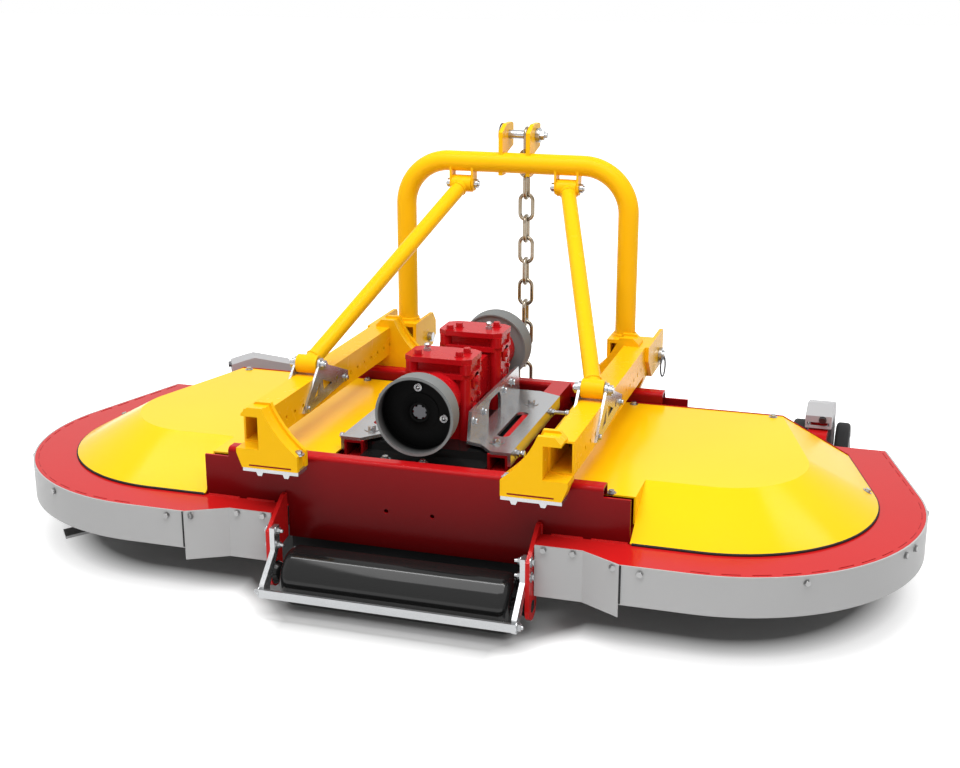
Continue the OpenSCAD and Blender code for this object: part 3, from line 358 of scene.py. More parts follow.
def build_finishes():
    """Every finish of the machine, by the record's material slot."""
    return {
        # Deck red, painted near black on faces that look down as painted shade
        "red_paint": underside_shaded_paint("red_paint", (0.53, 0.011, 0.011), (0.016, 0.012, 0.01)),
        # Beam red with painted shade low down and painted light on faces that look up
        "beam_red": lit_and_shaded_paint(
            "beam_red", (0.085, 0.001, 0.0015), (0.24, 0.005, 0.007), (0.46, 0.007, 0.009)
        ),
        "cast_red": paint("cast_red", (0.46, 0.006, 0.010), rough=0.26, peel=0.000006, gloss=0.12),
        "yellow_paint": paint("yellow_paint", (0.92, 0.50, 0.006), rough=0.26, gloss=0.06),
        "hood_yellow": paint("hood_yellow", (0.95, 0.57, 0.004), rough=0.18, gloss=0.1),
        "grey_sheet": paint("grey_sheet", (0.42, 0.42, 0.42), rough=0.42, gloss=0.2),
        "fork_grey": paint("fork_grey", (0.43, 0.43, 0.44), rough=0.4, gloss=0.15),
        "zinc": zinc("zinc", (0.47, 0.48, 0.49), (0.41, 0.42, 0.43), rough=0.22),
        "chain_zinc": zinc("chain_zinc", (0.40, 0.36, 0.30), (0.28, 0.23, 0.16), rough=0.14, spangle=90.0),
        # Guard grey with painted shade inside the guard
        "guard_grey": guard_plastic(
            "guard_grey", (0.19, 0.20, 0.20), (0.12, 0.12, 0.12), (0.001, 0.001, 0.001)
        ),
        "roller_black": paint("roller_black", (0.010, 0.010, 0.010), rough=0.09, peel=0.000002, gloss=0.3),
        "steel": zinc("steel", (0.09, 0.09, 0.095), (0.07, 0.07, 0.075)),
        "knife_steel": zinc("knife_steel", (0.34, 0.34, 0.34), (0.26, 0.26, 0.26)),
        "tyre": paint("tyre", (0.022, 0.022, 0.023), rough=0.7, peel=0.00006, gloss=0.2),
    }


finishes = build_finishes()
slot_of = {row["node"]: row["material_slot"] for row in frame["record"]["subparts"]}


def dress_solids():
    """Gives every CAD node its finish."""
    for node, solid in frame["nodes"].items():
        for material_slot in solid.material_slots:
            material_slot.material = finishes[slot_of[node]]


# Surfaces


def basis(axis):
    """Two unit vectors square to an axis, and the axis itself."""
    along = np.asarray(axis, float) / np.linalg.norm(axis)
    other = np.array([0.0, 0.0, 1.0]) if abs(along[2]) < 0.9 else np.array([1.0, 0.0, 0.0])
    first = np.cross(other, along)
    first /= np.linalg.norm(first)
    return first, np.cross(along, first), along


def turned(profile, places, axis, steps=24):
    """Turned form at each place. Its point (k, t) lies at height h(k) along the axis and at radius r(k)
    in the direction t round it. Where a row is six-sided, r is scaled by cos 30 / cos(t mod 60 - 30),
    a hexagon's reach. A profile's rows hold r, h and whether the row is six-sided."""
    radius, height, six = np.array(profile, float).T
    turn = np.linspace(0.0, 2.0 * math.pi, steps, endpoint=False)
    flat = math.cos(math.pi / 6.0) / np.cos(np.mod(turn, math.pi / 3.0) - math.pi / 6.0)
    reach = radius[:, None] * np.where(six[:, None] > 0.0, flat, 1.0)
    first, second, along = basis(axis)
    round_about = np.cos(turn)[:, None] * first + np.sin(turn)[:, None] * second
    form = reach[..., None] * round_about + height[:, None, None] * along
    return np.asarray(places, float).reshape(-1, 1, 1, 3) + form


def swept(path, radius, up, steps=10, closed=False):
    """Round bar along a path. Its point (k, t) lies at path point k, moved by radius(k) in the direction t
    of the plane square to the path there. An open bar ends in points."""
    path = np.asarray(path, float)
    if closed:
        ahead = np.roll(path, -1, axis=0) - np.roll(path, 1, axis=0)
    else:
        ahead = np.gradient(path, axis=0)
    ahead /= np.linalg.norm(ahead, axis=1)[:, None]
    first = np.cross(np.asarray(up, float), ahead)
    first /= np.linalg.norm(first, axis=1)[:, None]
    second = np.cross(ahead, first)
    turn = np.linspace(0.0, 2.0 * math.pi, steps, endpoint=False)
    reach = np.broadcast_to(np.asarray(radius, float), (len(path),))[:, None, None]
    rings = path[:, None, :] + reach * (
        np.cos(turn)[None, :, None] * first[:, None, :] + np.sin(turn)[None, :, None] * second[:, None, :]
    )
    if closed:
        return np.concatenate([rings, rings[:1]])[None]
    ends = [np.repeat(path[k][None, None, :], steps, axis=1) for k in (0, -1)]
    return np.concatenate([ends[0], rings, ends[1]])[None]


def threaded(places, axis, length, radius=5.0, pitch=2.5, depth=0.4, steps=12):
    """Screw along an axis. Its point (s, t) lies at distance s along the axis and at a radius that swells
    by the depth times the sine of s / pitch - t, which is a screw thread."""
    rows = np.linspace(0.0, length, int(length / pitch * 6))
    turn = np.linspace(0.0, 2.0 * math.pi, steps, endpoint=False)
    swell = depth * np.sin(2.0 * math.pi * rows[:, None] / pitch - turn[None, :])
    first, second, along = basis(axis)
    round_about = np.cos(turn)[:, None] * first + np.sin(turn)[:, None] * second
    form = (radius + swell)[..., None] * round_about + rows[:, None, None] * along
    ends = [np.repeat((s * along)[None, None, :], steps, axis=1) for s in (0.0, length)]
    form = np.concatenate([ends[0], form, ends[1]])
    return np.asarray(places, float).reshape(-1, 1, 1, 3) + form


def build(name, forms, slot, body="frame", sharp=35.0):
    """One piece from several grids of points in millimetres, whose columns close on themselves."""
    points = []
    faces = []
    count = 0
    for form in forms:
        copies, rows, columns, _ = form.shape
        index = np.arange(copies * rows * columns).reshape(copies, rows, columns) + count
        beside = np.roll(index, -1, axis=2)
        quads = np.stack([index[:, :-1], beside[:, :-1], beside[:, 1:], index[:, 1:]], axis=-1)
        points.append(form.reshape(-1, 3))
        faces.append(quads.reshape(-1, 4))
        count += index.size
    places = (np.concatenate(points) - (0.0, MID_Y, 0.0)) / 1000.0
    mesh = bpy.data.meshes.new(name)
    mesh.from_pydata(places.tolist(), [], np.concatenate(faces).tolist())
    shape = bmesh.new()
    shape.from_mesh(mesh)
    bmesh.ops.remove_doubles(shape, verts=shape.verts, dist=1e-6)
    bmesh.ops.recalc_face_normals(shape, faces=shape.faces)
    shape.to_mesh(mesh)
    shape.free()
    mesh.polygons.foreach_set("use_smooth", np.ones(len(mesh.polygons), bool))
    mesh.set_sharp_from_angle(angle=math.radians(sharp))
    mesh.materials.append(finishes[slot])
    piece = bpy.data.objects.new(name, mesh)
    bpy.context.scene.collection.objects.link(piece)
    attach(piece, body)


def hex_head(radius, height, washer=1.55):
    """Profile of a washer with a chamfered six-sided head on it."""
    return [
        (0.0, -1.0, 0),
        (radius * washer, -1.0, 0),
        (radius * washer, 1.6, 0),
        (radius * 0.98, 1.6, 1),
        (radius, 1.8, 1),
        (radius, 1.6 + height * 0.85, 1),
        (radius * 0.86, 1.6 + height, 0),
        (0.0, 1.6 + height, 0),
    ]


def nut(radius, height, end):
    """Profile of a washer, a six-sided nut and the end of its bolt."""
    bolt_r = radius * 0.55
    return [
        (0.0, -1.0, 0),
        (radius * 1.5, -1.0, 0),
        (radius * 1.5, 1.8, 0),
        (radius, 1.8, 1),
        (radius, 1.8 + height, 1),
        (bolt_r, 1.8 + height, 0),
        (bolt_r, 1.8 + height + end, 0),
        (bolt_r * 0.8, 2.6 + height + end, 0),
        (0.0, 2.6 + height + end, 0),
    ]


def dome_head(radius, height):
    """Profile of a round cup head: a short rim under a quarter of an ellipse."""
    rise = np.radians(np.linspace(0.0, 90.0, 6))
    cup = [(radius * math.cos(a), 1.0 + height * math.sin(a), 0) for a in rise]
    return [(0.0, -1.0, 0), (radius, -1.0, 0), *cup]


def arc(centre, first, second, start, end, count):
    """Points at the given angles, in degrees, of the circle centre + first cos t + second sin t."""
    turn = np.radians(np.linspace(start, end, count))
    return np.asarray(centre, float) + np.cos(turn)[:, None] * first + np.sin(turn)[:, None] * second


def ring(centre, first, second, count):
    """Full circle of points, for a closed bar: an arc without its doubled end."""
    return arc(centre, first, second, 0.0, 360.0, count + 1)[:-1]


def line(start, end, count):
    """Points at even steps of the straight line from start to end."""
    share = np.linspace(0.0, 1.0, count)[:, None]
    return np.asarray(start, float) * (1.0 - share) + np.asarray(end, float) * share


def bead(path, radius, up, closed=False):
    """Weld bead: a bar along the path whose radius swells in even ripples."""
    swell = 0.16
    turn_per_point = 1.9
    ripple = 1.0 + swell * np.sin(np.arange(len(path)) * turn_per_point)
    return swept(path, radius * ripple, up, steps=8, closed=closed)


def outward(side, angle):
    """Level direction that leaves a rotor axis on its own side, at an angle from straight across."""
    return np.array([side * math.cos(angle), math.sin(angle), 0.0])


def slantward(side):
    """Level direction along the deck's slanted edge, towards the tractor."""
    return np.array([-side * math.sin(DECK_SLANT), math.cos(DECK_SLANT), 0.0])


def swivelled(side, turn, point):
    """Point of a castor, given from the foot of its swivel axis, after the swivel's turn."""
    cos, sin = math.cos(turn), math.sin(turn)
    across, ahead, height = point
    swung = [cos * across - sin * ahead, sin * across + cos * ahead, height]
    return np.array([side * CASTOR_X, CASTOR_Y, 0.0]) + swung


# Pieces


def build_skirt_bolts():
    """Hexagon bolts round the skirts and on the deflectors."""
    head = hex_head(radius=7.5, height=5.0, washer=1.2)
    low = DECK_Z - 17.0
    end_angles = np.radians((-60.0, -25.0, -19.0, 8.0))
    slant_runs = (60.0, 270.0)
    forms = []
    for side in SIDES:
        centre = np.array([side * ROTOR_X, 0.0, low])
        for angle in end_angles:
            out = outward(side, angle)
            forms.append(turned(head, centre + DECK_END_R * out, out))
        out = outward(side, DECK_SLANT)
        for run in slant_runs:
            forms.append(turned(head, centre + DECK_END_R * out + run * slantward(side), out))
        straight = (side * 575.0, -DECK_END_R, low + 2.0)
        inner = [(side * x, -437.0, DECK_Z - 9.0) for x in (345.0, 413.0)]
        wing = (side * 513.0, -480.0, DECK_Z - 11.0)
        forms.append(turned(head, [straight, *inner], NEAR))
        forms.append(turned(head, wing, (side * 0.48, -0.88, 0.0)))
    build("skirt_bolts", forms, "knife_steel")


def build_skirt_seams():
    """Dark upright joint between each skirt's end and its deflector."""
    low = DECK_Z - SKIRT_H + 3.0
    front = -DECK_END_R - 1.0
    forms = []
    for side in SIDES:
        path = line((side * SEAM_X, front, low), (side * SEAM_X, front, DECK_Z), 12)
        forms.append(swept(path, radius=1.8, up=AHEAD, steps=8))
    build("skirt_seams", forms, "tyre")


def build_hood_bolts():
    """Hexagon bolts that hold the hoods down, at the far edge, beside the beam and on the slope's foot."""
    head = hex_head(radius=7.5, height=6.0)
    top_spots = ((390.0, 362.0), (765.0, 360.0), (472.0, -312.0))
    foot_angle = math.radians(14.0)
    foot_in = 22.0
    run = HOOD_RIM_R - HOOD_FOLD_R
    drop = HOOD_TOP_Z - HOOD_LOW_Z
    rise = math.atan2(run, drop)
    foot_z = HOOD_LOW_Z + foot_in * drop / run
    forms = []
    for side in SIDES:
        forms.append(turned(head, [(side * x, y, HOOD_TOP_Z) for x, y in top_spots], UP))
        flat = outward(side, foot_angle)
        foot = [side * ROTOR_X, 0.0, foot_z] + (HOOD_RIM_R - foot_in) * flat
        forms.append(turned(head, foot, flat * math.cos(rise) + np.array(UP) * math.sin(rise)))
    build("hood_bolts", forms, "zinc")


def build_hood_seals():
    """Black rubber strip under each hood's foot: straight, round the end and along the slant."""
    height = (DECK_Z + HOOD_LOW_Z) / 2.0
    reach = HOOD_RIM_R - 2.0
    forms = []
    for side in SIDES:
        centre = np.array([side * ROTOR_X, 0.0, height])
        out = np.array([side * reach, 0.0, 0.0])
        ahead = np.array([0.0, reach, 0.0])
        bend = arc(centre, out, ahead, -90.0, math.degrees(DECK_SLANT), 60)
        straight = line((side * 534.0, -reach, height), bend[0], 8)
        run = (HOOD_FAR_Y - bend[-1][1]) / math.cos(DECK_SLANT)
        slant = line(bend[-1], bend[-1] + run * slantward(side), 12)
        path = np.concatenate([straight[:-1], bend, slant[1:]])
        forms.append(swept(path, radius=3.6, up=UP))
    build("hood_seals", forms, "tyre")


def build_hood_hems():
    """Dark hem on each hood's far edge: along the flat top and down the slanted side."""
    fall = HOOD_FAR_Y / math.cos(DECK_SLANT)
    forms = []
    for side in SIDES:
        spots = [(side * HOOD_IN_X, HOOD_FAR_Y, HOOD_TOP_Z)]
        for reach, height in ((HOOD_FOLD_R, HOOD_TOP_Z), (HOOD_RIM_R, HOOD_LOW_Z)):
            across = reach / math.cos(DECK_SLANT) - fall * math.sin(DECK_SLANT)
            spots.append((side * (ROTOR_X + across), HOOD_FAR_Y, height))
        top = line(spots[0], spots[1], 12)
        slope = line(spots[1], spots[2], 12)
        forms.append(swept(np.concatenate([top[:-1], slope]), radius=2.4, up=AHEAD, steps=8))
    build("hood_hems", forms, "beam_red")


def build_gusset_bolts():
    """Hexagon bolts through the gussets into the rails."""
    head = hex_head(radius=7.0, height=6.0)
    spots = ((-176.0, 402.0), (74.0, 413.0))
    forms = []
    for side in SIDES:
        for x, way in ((GUSSET_OUT_X, side), (GUSSET_IN_X, -side)):
            forms.append(turned(head, [(side * x, y, z) for y, z in spots], (way, 0.0, 0.0)))
    build("gusset_bolts", forms, "zinc")


def build_gear_bolts():
    """Painted bolts on the gearbox lids and side covers, and a bright breather on each lid."""
    near = [(x, GEAR_NEAR_Y + d, LID_Z) for x, d in ((-54.0, 22.0), (48.0, 34.0), (56.0, 72.0))]
    far = [(x, GEAR_FAR_Y - d, LID_Z) for x, d in ((52.0, 31.0), (-40.0, 66.0), (-56.0, 96.0))]
    forms = [turned(hex_head(radius=9.5, height=11.0, washer=1.35), near + far, UP)]
    plug = [
        (0.0, -2.0, 0),
        (24.0, -2.0, 0),
        (24.0, 4.0, 0),
        (21.0, 6.0, 0),
        (12.0, 6.0, 0),
        (12.0, 12.0, 1),
        (0.0, 12.0, 0),
    ]
    cover_head = hex_head(radius=5.5, height=5.0, washer=1.3)
    plug_drop = 62.0
    cover_half = 28.0
    cover_drops = (38.0, 104.0)
    for side in SIDES:
        for y in (GEAR_NEAR_Y + GEAR_DEPTH / 2.0, GEAR_FAR_Y - GEAR_DEPTH / 2.0):
            forms.append(turned(plug, (side * PAD_X, y, LID_Z - plug_drop), (side, 0.0, 0.0)))
            edges = (y - cover_half, y + cover_half)
            rim = [(side * PAD_X, edge, LID_Z - drop) for edge in edges for drop in cover_drops]
            forms.append(turned(cover_head, rim, (side, 0.0, 0.0)))
    build("gear_bolts", forms, "cast_red")
    breather = [
        (0.0, -1.0, 0),
        (9.0, -1.0, 1),
        (9.0, 7.0, 1),
        (6.0, 8.0, 0),
        (6.0, 12.0, 0),
        (8.0, 13.0, 0),
        (8.0, 17.0, 0),
        (5.0, 20.0, 0),
        (0.0, 20.5, 0),
    ]
    spots = [(-45.0, GEAR_NEAR_Y + 63.0, LID_Z), (40.0, GEAR_FAR_Y - 62.0, LID_Z)]
    build("breathers", [turned(breather, spots, UP)], "zinc")


def build_plate_fittings():
    """Bolts on the gearbox plates and their tension screws through the folded edge."""
    head = hex_head(radius=8.0, height=7.0, washer=1.7)
    large = hex_head(radius=10.0, height=9.0, washer=1.9)
    lock_nut = nut(radius=8.0, height=7.0, end=1.0)
    screw_head_h = 6.0
    screw_head = hex_head(8.0, screw_head_h, washer=1.0)
    upright = ((-160.0, 406.0), (-81.0, 406.0), (97.0, 410.0), (175.0, 410.0))
    screws = ((-205.0, 24.0), (132.0, 50.0))
    screw_drop = 16.0
    edge_t = 4.0
    flange_x = 161.0
    forms = []
    for side in SIDES:
        flange = [(side * flange_x, y, PLATE_Z) for y in (-185.0, 135.0)]
        forms.append(turned(large, flange, UP))
        forms.append(turned(head, [(side * UPRIGHT_X, y, z) for y, z in upright], (side, 0.0, 0.0)))
        for y, length in screws:
            root = np.array([side * (PLATE_X - edge_t), y, PLATE_Z - screw_drop])
            out = np.array([side, 0.0, 0.0])
            forms.append(threaded(root, out, length))
            forms.append(turned(lock_nut, root + edge_t * out, out))
            forms.append(turned(screw_head, root + (length - screw_head_h) * out, out))
    build("plate_fittings", forms, "zinc")
    tray = [(6.0, -282.0, TRAY_Z), (-90.0, -282.0, TRAY_Z)]
    build("tray_bolts", [turned(head, tray, UP)], "zinc")


def build_guard_fittings():
    """Spring clips inside the guards, a coil of wire round a screw on the web, and seals round the stubs.
    The wire is a flat spiral, whose radius grows evenly with its turn."""
    screw = dome_head(radius=4.0, height=3.0)
    clip_r = 60.0
    coil = np.linspace(0.0, 4.5 * math.pi, 60)
    reach = 5.0 + 0.35 * coil
    seats = ((NEAR_MOUTH_Y + WEB_DEPTH, -1.0), (FAR_MOUTH_Y - WEB_DEPTH, 1.0))
    forms = []
    for web_y, way in seats:
        out = np.array([0.0, way, 0.0])
        first, second, _ = basis(out)
        spiral = np.outer(reach * np.cos(coil), first) + np.outer(reach * np.sin(coil), second)
        for turn in np.radians((95.0, -12.0)):
            spot = np.array([clip_r * math.cos(turn), web_y, DRIVE_Z + clip_r * math.sin(turn)])
            forms.append(swept(spot + 3.0 * out + spiral, radius=1.2, up=out, steps=8))
            forms.append(turned(screw, spot, out))
    build("guard_clips", forms, "zinc")
    lip = [
        (19.0, -1.0, 0),
        (46.0, -1.0, 0),
        (46.0, 2.0, 0),
        (30.0, 4.0, 0),
        (24.0, 9.0, 0),
        (19.0, 9.0, 0),
        (19.0, -1.0, 0),
    ]
    forms = [turned(lip, (0.0, y, DRIVE_Z), (0.0, way, 0.0), steps=48) for y, way in seats]
    build("shaft_seals", forms, "guard_grey")


def build_bracket_bolts():
    """Clamp bolts on the saddle brackets' inner ledges."""
    head = hex_head(radius=9.0, height=7.0)
    ledge_x = 255.0
    ledge_z = 370.0
    spots = [(side * ledge_x, y, ledge_z) for y in (-417.0, 457.0) for side in SIDES]
    build("bracket_bolts", [turned(head, spots, UP)], "zinc")


def build_roller_fittings():
    """Roller bearings, through bolts in the side plates and nuts at the scraper bar's ends."""
    bearing = [
        (15.2, -13.0, 0),
        (15.2, -15.0, 0),
        (19.0, -16.0, 0),
        (24.0, -12.0, 0),
        (27.0, -3.0, 0),
        (29.0, 0.0, 0),
        (15.2, 0.0, 0),
        (15.2, -13.0, 0),
    ]
    forms = [turned(bearing, (side * CHEEK_X, ROLLER_Y, ROLLER_Z), (side, 0.0, 0.0)) for side in SIDES]
    build("roller_bearings", forms, "roller_black")
    plate_nut = nut(radius=8.0, height=7.0, end=7.0)
    plate_head = hex_head(radius=8.0, height=6.0)
    bar_nut = nut(radius=9.0, height=8.0, end=4.0)
    spots = ((-457.0, 188.0), (-457.0, 152.0))
    bar_spot = (-534.0, 63.0)
    forms = []
    for side in SIDES:
        inner = [(side * (CHEEK_X - ARM_T), y, z) for y, z in spots]
        outer = [(side * (CHEEK_X + CHEEK_T), y, z) for y, z in spots]
        forms.append(turned(plate_nut, inner, (-side, 0.0, 0.0)))
        forms.append(turned(plate_head, outer, (side, 0.0, 0.0)))
        forms.append(turned(bar_nut, (side * CHEEK_X, *bar_spot), (side, 0.0, 0.0)))
    build("roller_bolts", forms, "zinc")


def build_shade_flap():
    """Black rubber flap behind the roller. It is a guessed part, and it stands in for the shade under the
    deck there. Its section, a thin loop down the front and up the back, is carried along x and swings out
    by a sine of x that grows with the square of the depth."""
    clearance = 3.0
    half = CHEEK_X - clearance
    depth = np.linspace(0.0, 1.0, 14)
    loop = np.concatenate([depth, depth[::-1]])
    thick = np.repeat([0.0, FLAP_T], len(depth))
    across = np.linspace(-half, half, 80)[:, None]
    away = FLAP_Y + thick + FLAP_WAVE * np.sin(across / FLAP_PITCH) * loop**2
    form = np.stack(np.broadcast_arrays(across, away, FLAP_TOP_Z - FLAP_DROP * loop), axis=-1)
    ends = np.repeat(form[[0, -1]].mean(axis=1, keepdims=True), len(loop), axis=1)
    # Dark sheet placed where the deck's shade falls behind the roller
    build("roller_shade_flap", [np.concatenate([ends[:1], form, ends[1:]])[None]], "tyre")


def build_pin_rings():
    """Wire rings of the linch pins: one hangs from the top pin's end, one from each lower pin."""
    wire = 2.4
    loop = ring(TOP_PIN, np.array([2.0, 29.0, 0.0]), np.array([0.0, 0.0, 29.0]), 40)
    forms = [swept(loop, wire, up=(1.0, 0.0, 0.0), steps=8, closed=True)]
    for side in SIDES:
        centre = (side * LINK_PIN[0], LINK_PIN[1] - 8.0, LINK_PIN[2] - 30.0)
        loop = ring(centre, np.array([side * 4.0, 14.0, 0.0]), np.array([0.0, 0.0, 30.0]), 40)
        forms.append(swept(loop, wire, up=(side, -0.3, 0.0), steps=8, closed=True))
    build("linch_rings", forms, "steel")
    end = nut(radius=14.0, height=12.0, end=8.0)
    seat = (55.0, *TOP_PIN[1:])
    build("top_pin_nut", [turned(end, seat, (1.0, 0.0, 0.0))], "zinc")


def build_welds():
    """Weld beads: stitches under the beam, the side plates on the beam, and rings at sleeves and stays."""
    stitches = ((346.0, 420.0), (440.0, 524.0))
    plate_span = (150.0, 246.0)
    sleeve_rings = ((SLEEVE_R, FOOT_TOP_Z - 8.0), (30.0, FOOT_TOP_Z))
    stay_setback = 25.0
    tube_bead_r = 2.6
    red = []
    yellow = []
    for side in SIDES:
        for start, end in stitches:
            path = line((side * start, BEAM_Y, DECK_Z), (side * end, BEAM_Y, DECK_Z), 60)
            red.append(bead(path, radius=3.6, up=UP))
        low, high = [(side * (CHEEK_X + CHEEK_T), BEAM_Y, z) for z in plate_span]
        red.append(bead(line(low, high, 70), radius=3.2, up=AHEAD))
        for radius, height in sleeve_rings:
            centre = (side * HOOP_X, HOOP_Y, height)
            loop = ring(centre, np.array([radius, 0.0, 0.0]), np.array([0.0, radius, 0.0]), 120)
            yellow.append(bead(loop, tube_bead_r, UP, closed=True))
        foot = np.array([side * STAY_FOOT[0], *STAY_FOOT[1:]])
        head = np.array([side * STAY_HEAD[0], *STAY_HEAD[1:]])
        first, second, along = basis(head - foot)
        for spot in (foot + stay_setback * along, head - stay_setback * along):
            loop = ring(spot, STAY_R * first, STAY_R * second, 100)
            yellow.append(bead(loop, tube_bead_r, along, closed=True))
    build("red_welds", red, "red_paint")
    build("yellow_welds", yellow, "yellow_paint")


def build_wheel_discs():
    """Pressed wheel discs in the castor tyres: rim lip, dished web and hub cap, on both outer sides."""
    disc = [
        (0.0, -9.0, 0),
        (66.0, -9.0, 0),
        (66.0, 0.5, 0),
        (62.0, 2.0, 0),
        (59.0, 0.0, 0),
        (55.0, -5.5, 0),
        (40.0, -6.5, 0),
        (30.0, -3.0, 0),
        (24.0, 2.0, 0),
        (22.0, 6.0, 0),
        (12.0, 8.0, 0),
        (0.0, 8.5, 0),
    ]
    for side, name, turn in CASTORS:
        centre = swivelled(side, turn, (0.0, TRAIL, AXLE_Z))
        axle = np.array([math.cos(turn), math.sin(turn), 0.0])
        forms = [turned(disc, centre + way * WHEEL_OUT * axle, way * axle, steps=48) for way in SIDES]
        build("wheel_discs_" + name, forms, "fork_grey", "castor_wheels_" + name)


def build_castor_bolts():
    """Head of the clamp bolt in front of each castor fork."""
    head = hex_head(radius=9.0, height=7.0, washer=1.15)
    for side, name, turn in CASTORS:
        spot = swivelled(side, turn, (side * FORK_BOLT_X, -FORK_FRONT, FORK_BOLT_Z))
        front = (math.sin(turn), -math.cos(turn), 0.0)
        build("castor_bolts_" + name, [turned(head, spot, front)], "steel", "castor_" + name)


def build_deck_seams():
    """Stitched sealing seam inside the deck's outer edge: short dashes round the end and up the slant."""
    reach = DECK_END_R - 14.0
    height = DECK_Z + 0.2
    radius = 0.9
    dash_angle = 5.0
    dash_run = 42.0
    end_starts = np.arange(-90.0, math.degrees(DECK_SLANT) - dash_angle, 8.0)
    slant_starts = np.arange(10.0, 300.0, 66.0)
    forms = []
    for side in SIDES:
        centre = np.array([side * ROTOR_X, 0.0, height])
        out = np.array([side * reach, 0.0, 0.0])
        ahead = np.array([0.0, reach, 0.0])
        for start in end_starts:
            dash = arc(centre, out, ahead, start, start + dash_angle, 8)
            forms.append(swept(dash, radius, UP, steps=6))
        slant = slantward(side)
        bend = centre + reach * outward(side, DECK_SLANT)
        for run in slant_starts:
            dash = line(bend + run * slant, bend + (run + dash_run) * slant, 6)
            forms.append(swept(dash, radius, UP, steps=6))
    build("deck_seams", forms, "beam_red")


def build_knife_bolts():
    """Round-headed pivot bolts of the knives, on top of the rotor discs."""
    head = dome_head(radius=13.0, height=8.0)
    for side, name, first in ((-1.0, "left", 234.0), (1.0, "right", 220.0)):
        centre = (side * ROTOR_X, 0.0, DISC_TOP_Z)
        across = np.array([KNIFE_BOLT_R, 0.0, 0.0])
        ahead = np.array([0.0, KNIFE_BOLT_R, 0.0])
        spots = arc(centre, across, ahead, first, first + 180.0, 2)
        build("knife_bolts_" + name, [turned(head, spots, UP)], "steel", "rotor_" + name)


# Stage


def seen_rays(tree):
    """Socket that is 1 for what the camera sees, straight or mirrored, and 0 for bounced light."""
    rays = tree.nodes.new("ShaderNodeLightPath")
    seen = rays.outputs["Is Camera Ray"]
    for kind in ("Is Glossy Ray", "Is Transmission Ray"):
        either = tree.nodes.new("ShaderNodeMath")
        either.operation = "MAXIMUM"
        tree.links.new(seen, either.inputs[0])
        tree.links.new(rays.outputs[kind], either.inputs[1])
        seen = either.outputs[0]
    return seen


def build_floor():
    """Large pale floor that keeps the shadow near the machine and fades to pure white away from it. Its
    own glow, held low near the machine, paints much of that shadow's shape.
    """
    mesh = bpy.data.meshes.new("floor")
    corners = ((-1.0, -1.0), (1.0, -1.0), (1.0, 1.0), (-1.0, 1.0))
    mesh.from_pydata([(FLOOR_HALF * x, FLOOR_HALF * y, 0.0) for x, y in corners], [], [(0, 1, 2, 3)])
    floor = bpy.data.objects.new("floor", mesh)
    bpy.context.scene.collection.objects.link(floor)
    finish = Finish("floor_white")
    seen = seen_rays(finish.tree)
    finish.drive(finish.blend(seen, FLOOR_LIT, FLOOR_SEEN), "Base Color")
    finish.set("Roughness", 0.7)
    finish.set("Specular IOR Level", 0.2)
    finish.set("Emission Color", (1.0, 1.0, 1.0, 1.0))
    across = finish.math("ABSOLUTE", finish.axis("X"))
    past_x = finish.math("MAXIMUM", finish.math("SUBTRACT", across, ROTOR_X / 1000.0), 0.0)
    past_x = finish.math("MULTIPLY", past_x, END_SQUEEZE)
    past_y = finish.math("ADD", finish.axis("Y"), FLOOR_MID)
    square_x = finish.math("MULTIPLY", past_x, past_x)
    square_y = finish.math("MULTIPLY", past_y, past_y)
    beside = finish.span(across, ROLLER_SHADE, 0.0, *ROLLER_SHADE_X)
    roller = finish.math("MULTIPLY", beside, finish.span(past_y, 1.0, 0.0, *ROLLER_SHADE_Y))
    reach = finish.math("SQRT", finish.math("ADD", square_x, square_y))
    reach = finish.math("SUBTRACT", reach, roller)
    # Painted shadow: glow held low under and near the deck, rising past its edge
    edge = finish.span(reach, GLOW_UNDER, GLOW_EDGE, GLOW_START, GLOW_BEND)
    away = finish.span(reach, 0.0, GLOW_AWAY, GLOW_BEND, GLOW_END)
    finish.drive(finish.math("MULTIPLY", finish.math("ADD", edge, away), seen), "Emission Strength")
    mesh.materials.append(finish.material)


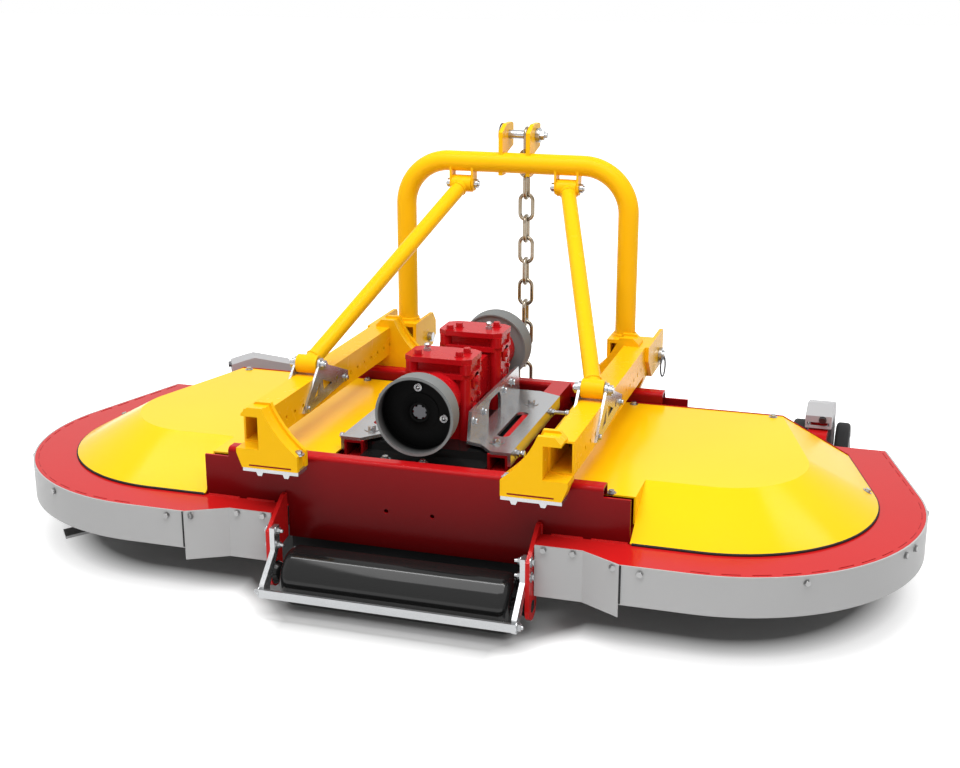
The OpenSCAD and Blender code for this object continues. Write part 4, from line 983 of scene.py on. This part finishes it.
def place_lamp(name, spot, aim, size, watts):
    """Rectangular lamp at a spot, turned towards its aim."""
    data = bpy.data.lights.new(name, "AREA")
    data.shape = "RECTANGLE"
    data.size, data.size_y = size
    data.energy = watts
    lamp = bpy.data.objects.new(name, data)
    bpy.context.scene.collection.objects.link(lamp)
    lamp.location = spot
    lamp.rotation_mode = "QUATERNION"
    lamp.rotation_quaternion = (Vector(aim) - Vector(spot)).to_track_quat("-Z", "Y")


def build_light():
    """Surroundings that brighten towards the zenith and are white for the camera, and the lamps."""
    world = bpy.data.worlds.new("studio")
    bpy.context.scene.world = world
    world.use_nodes = True
    tree = world.node_tree
    background = tree.nodes["Background"]
    background.inputs["Color"].default_value = (1.0, 1.0, 1.0, 1.0)
    split = tree.nodes.new("ShaderNodeSeparateXYZ")
    tree.links.new(tree.nodes.new("ShaderNodeTexCoord").outputs["Generated"], split.inputs["Vector"])
    height = tree.nodes.new("ShaderNodeMapRange")
    height.inputs["From Min"].default_value = 0.0
    height.inputs["From Max"].default_value = SKY_RISE
    height.inputs["To Min"].default_value = SKY_LOW
    height.inputs["To Max"].default_value = SKY_HIGH
    tree.links.new(split.outputs["Z"], height.inputs["Value"])
    strength = tree.nodes.new("ShaderNodeMapRange")
    strength.inputs["To Max"].default_value = 1.0
    tree.links.new(seen_rays(tree), strength.inputs["Value"])
    tree.links.new(height.outputs["Result"], strength.inputs["To Min"])
    tree.links.new(strength.outputs["Result"], background.inputs["Strength"])
    for name, (spot, aim, size, watts) in LAMPS.items():
        place_lamp(name, spot, aim, size, watts)


place_camera()
dress_solids()
build_skirt_bolts()
build_skirt_seams()
build_hood_bolts()
build_hood_seals()
build_hood_hems()
build_gusset_bolts()
build_gear_bolts()
build_plate_fittings()
build_guard_fittings()
build_bracket_bolts()
build_roller_fittings()
build_shade_flap()
build_pin_rings()
build_welds()
build_wheel_discs()
build_castor_bolts()
build_deck_seams()
build_knife_bolts()
build_floor()
build_light()
bpy.context.scene.view_settings.view_transform = "Standard"
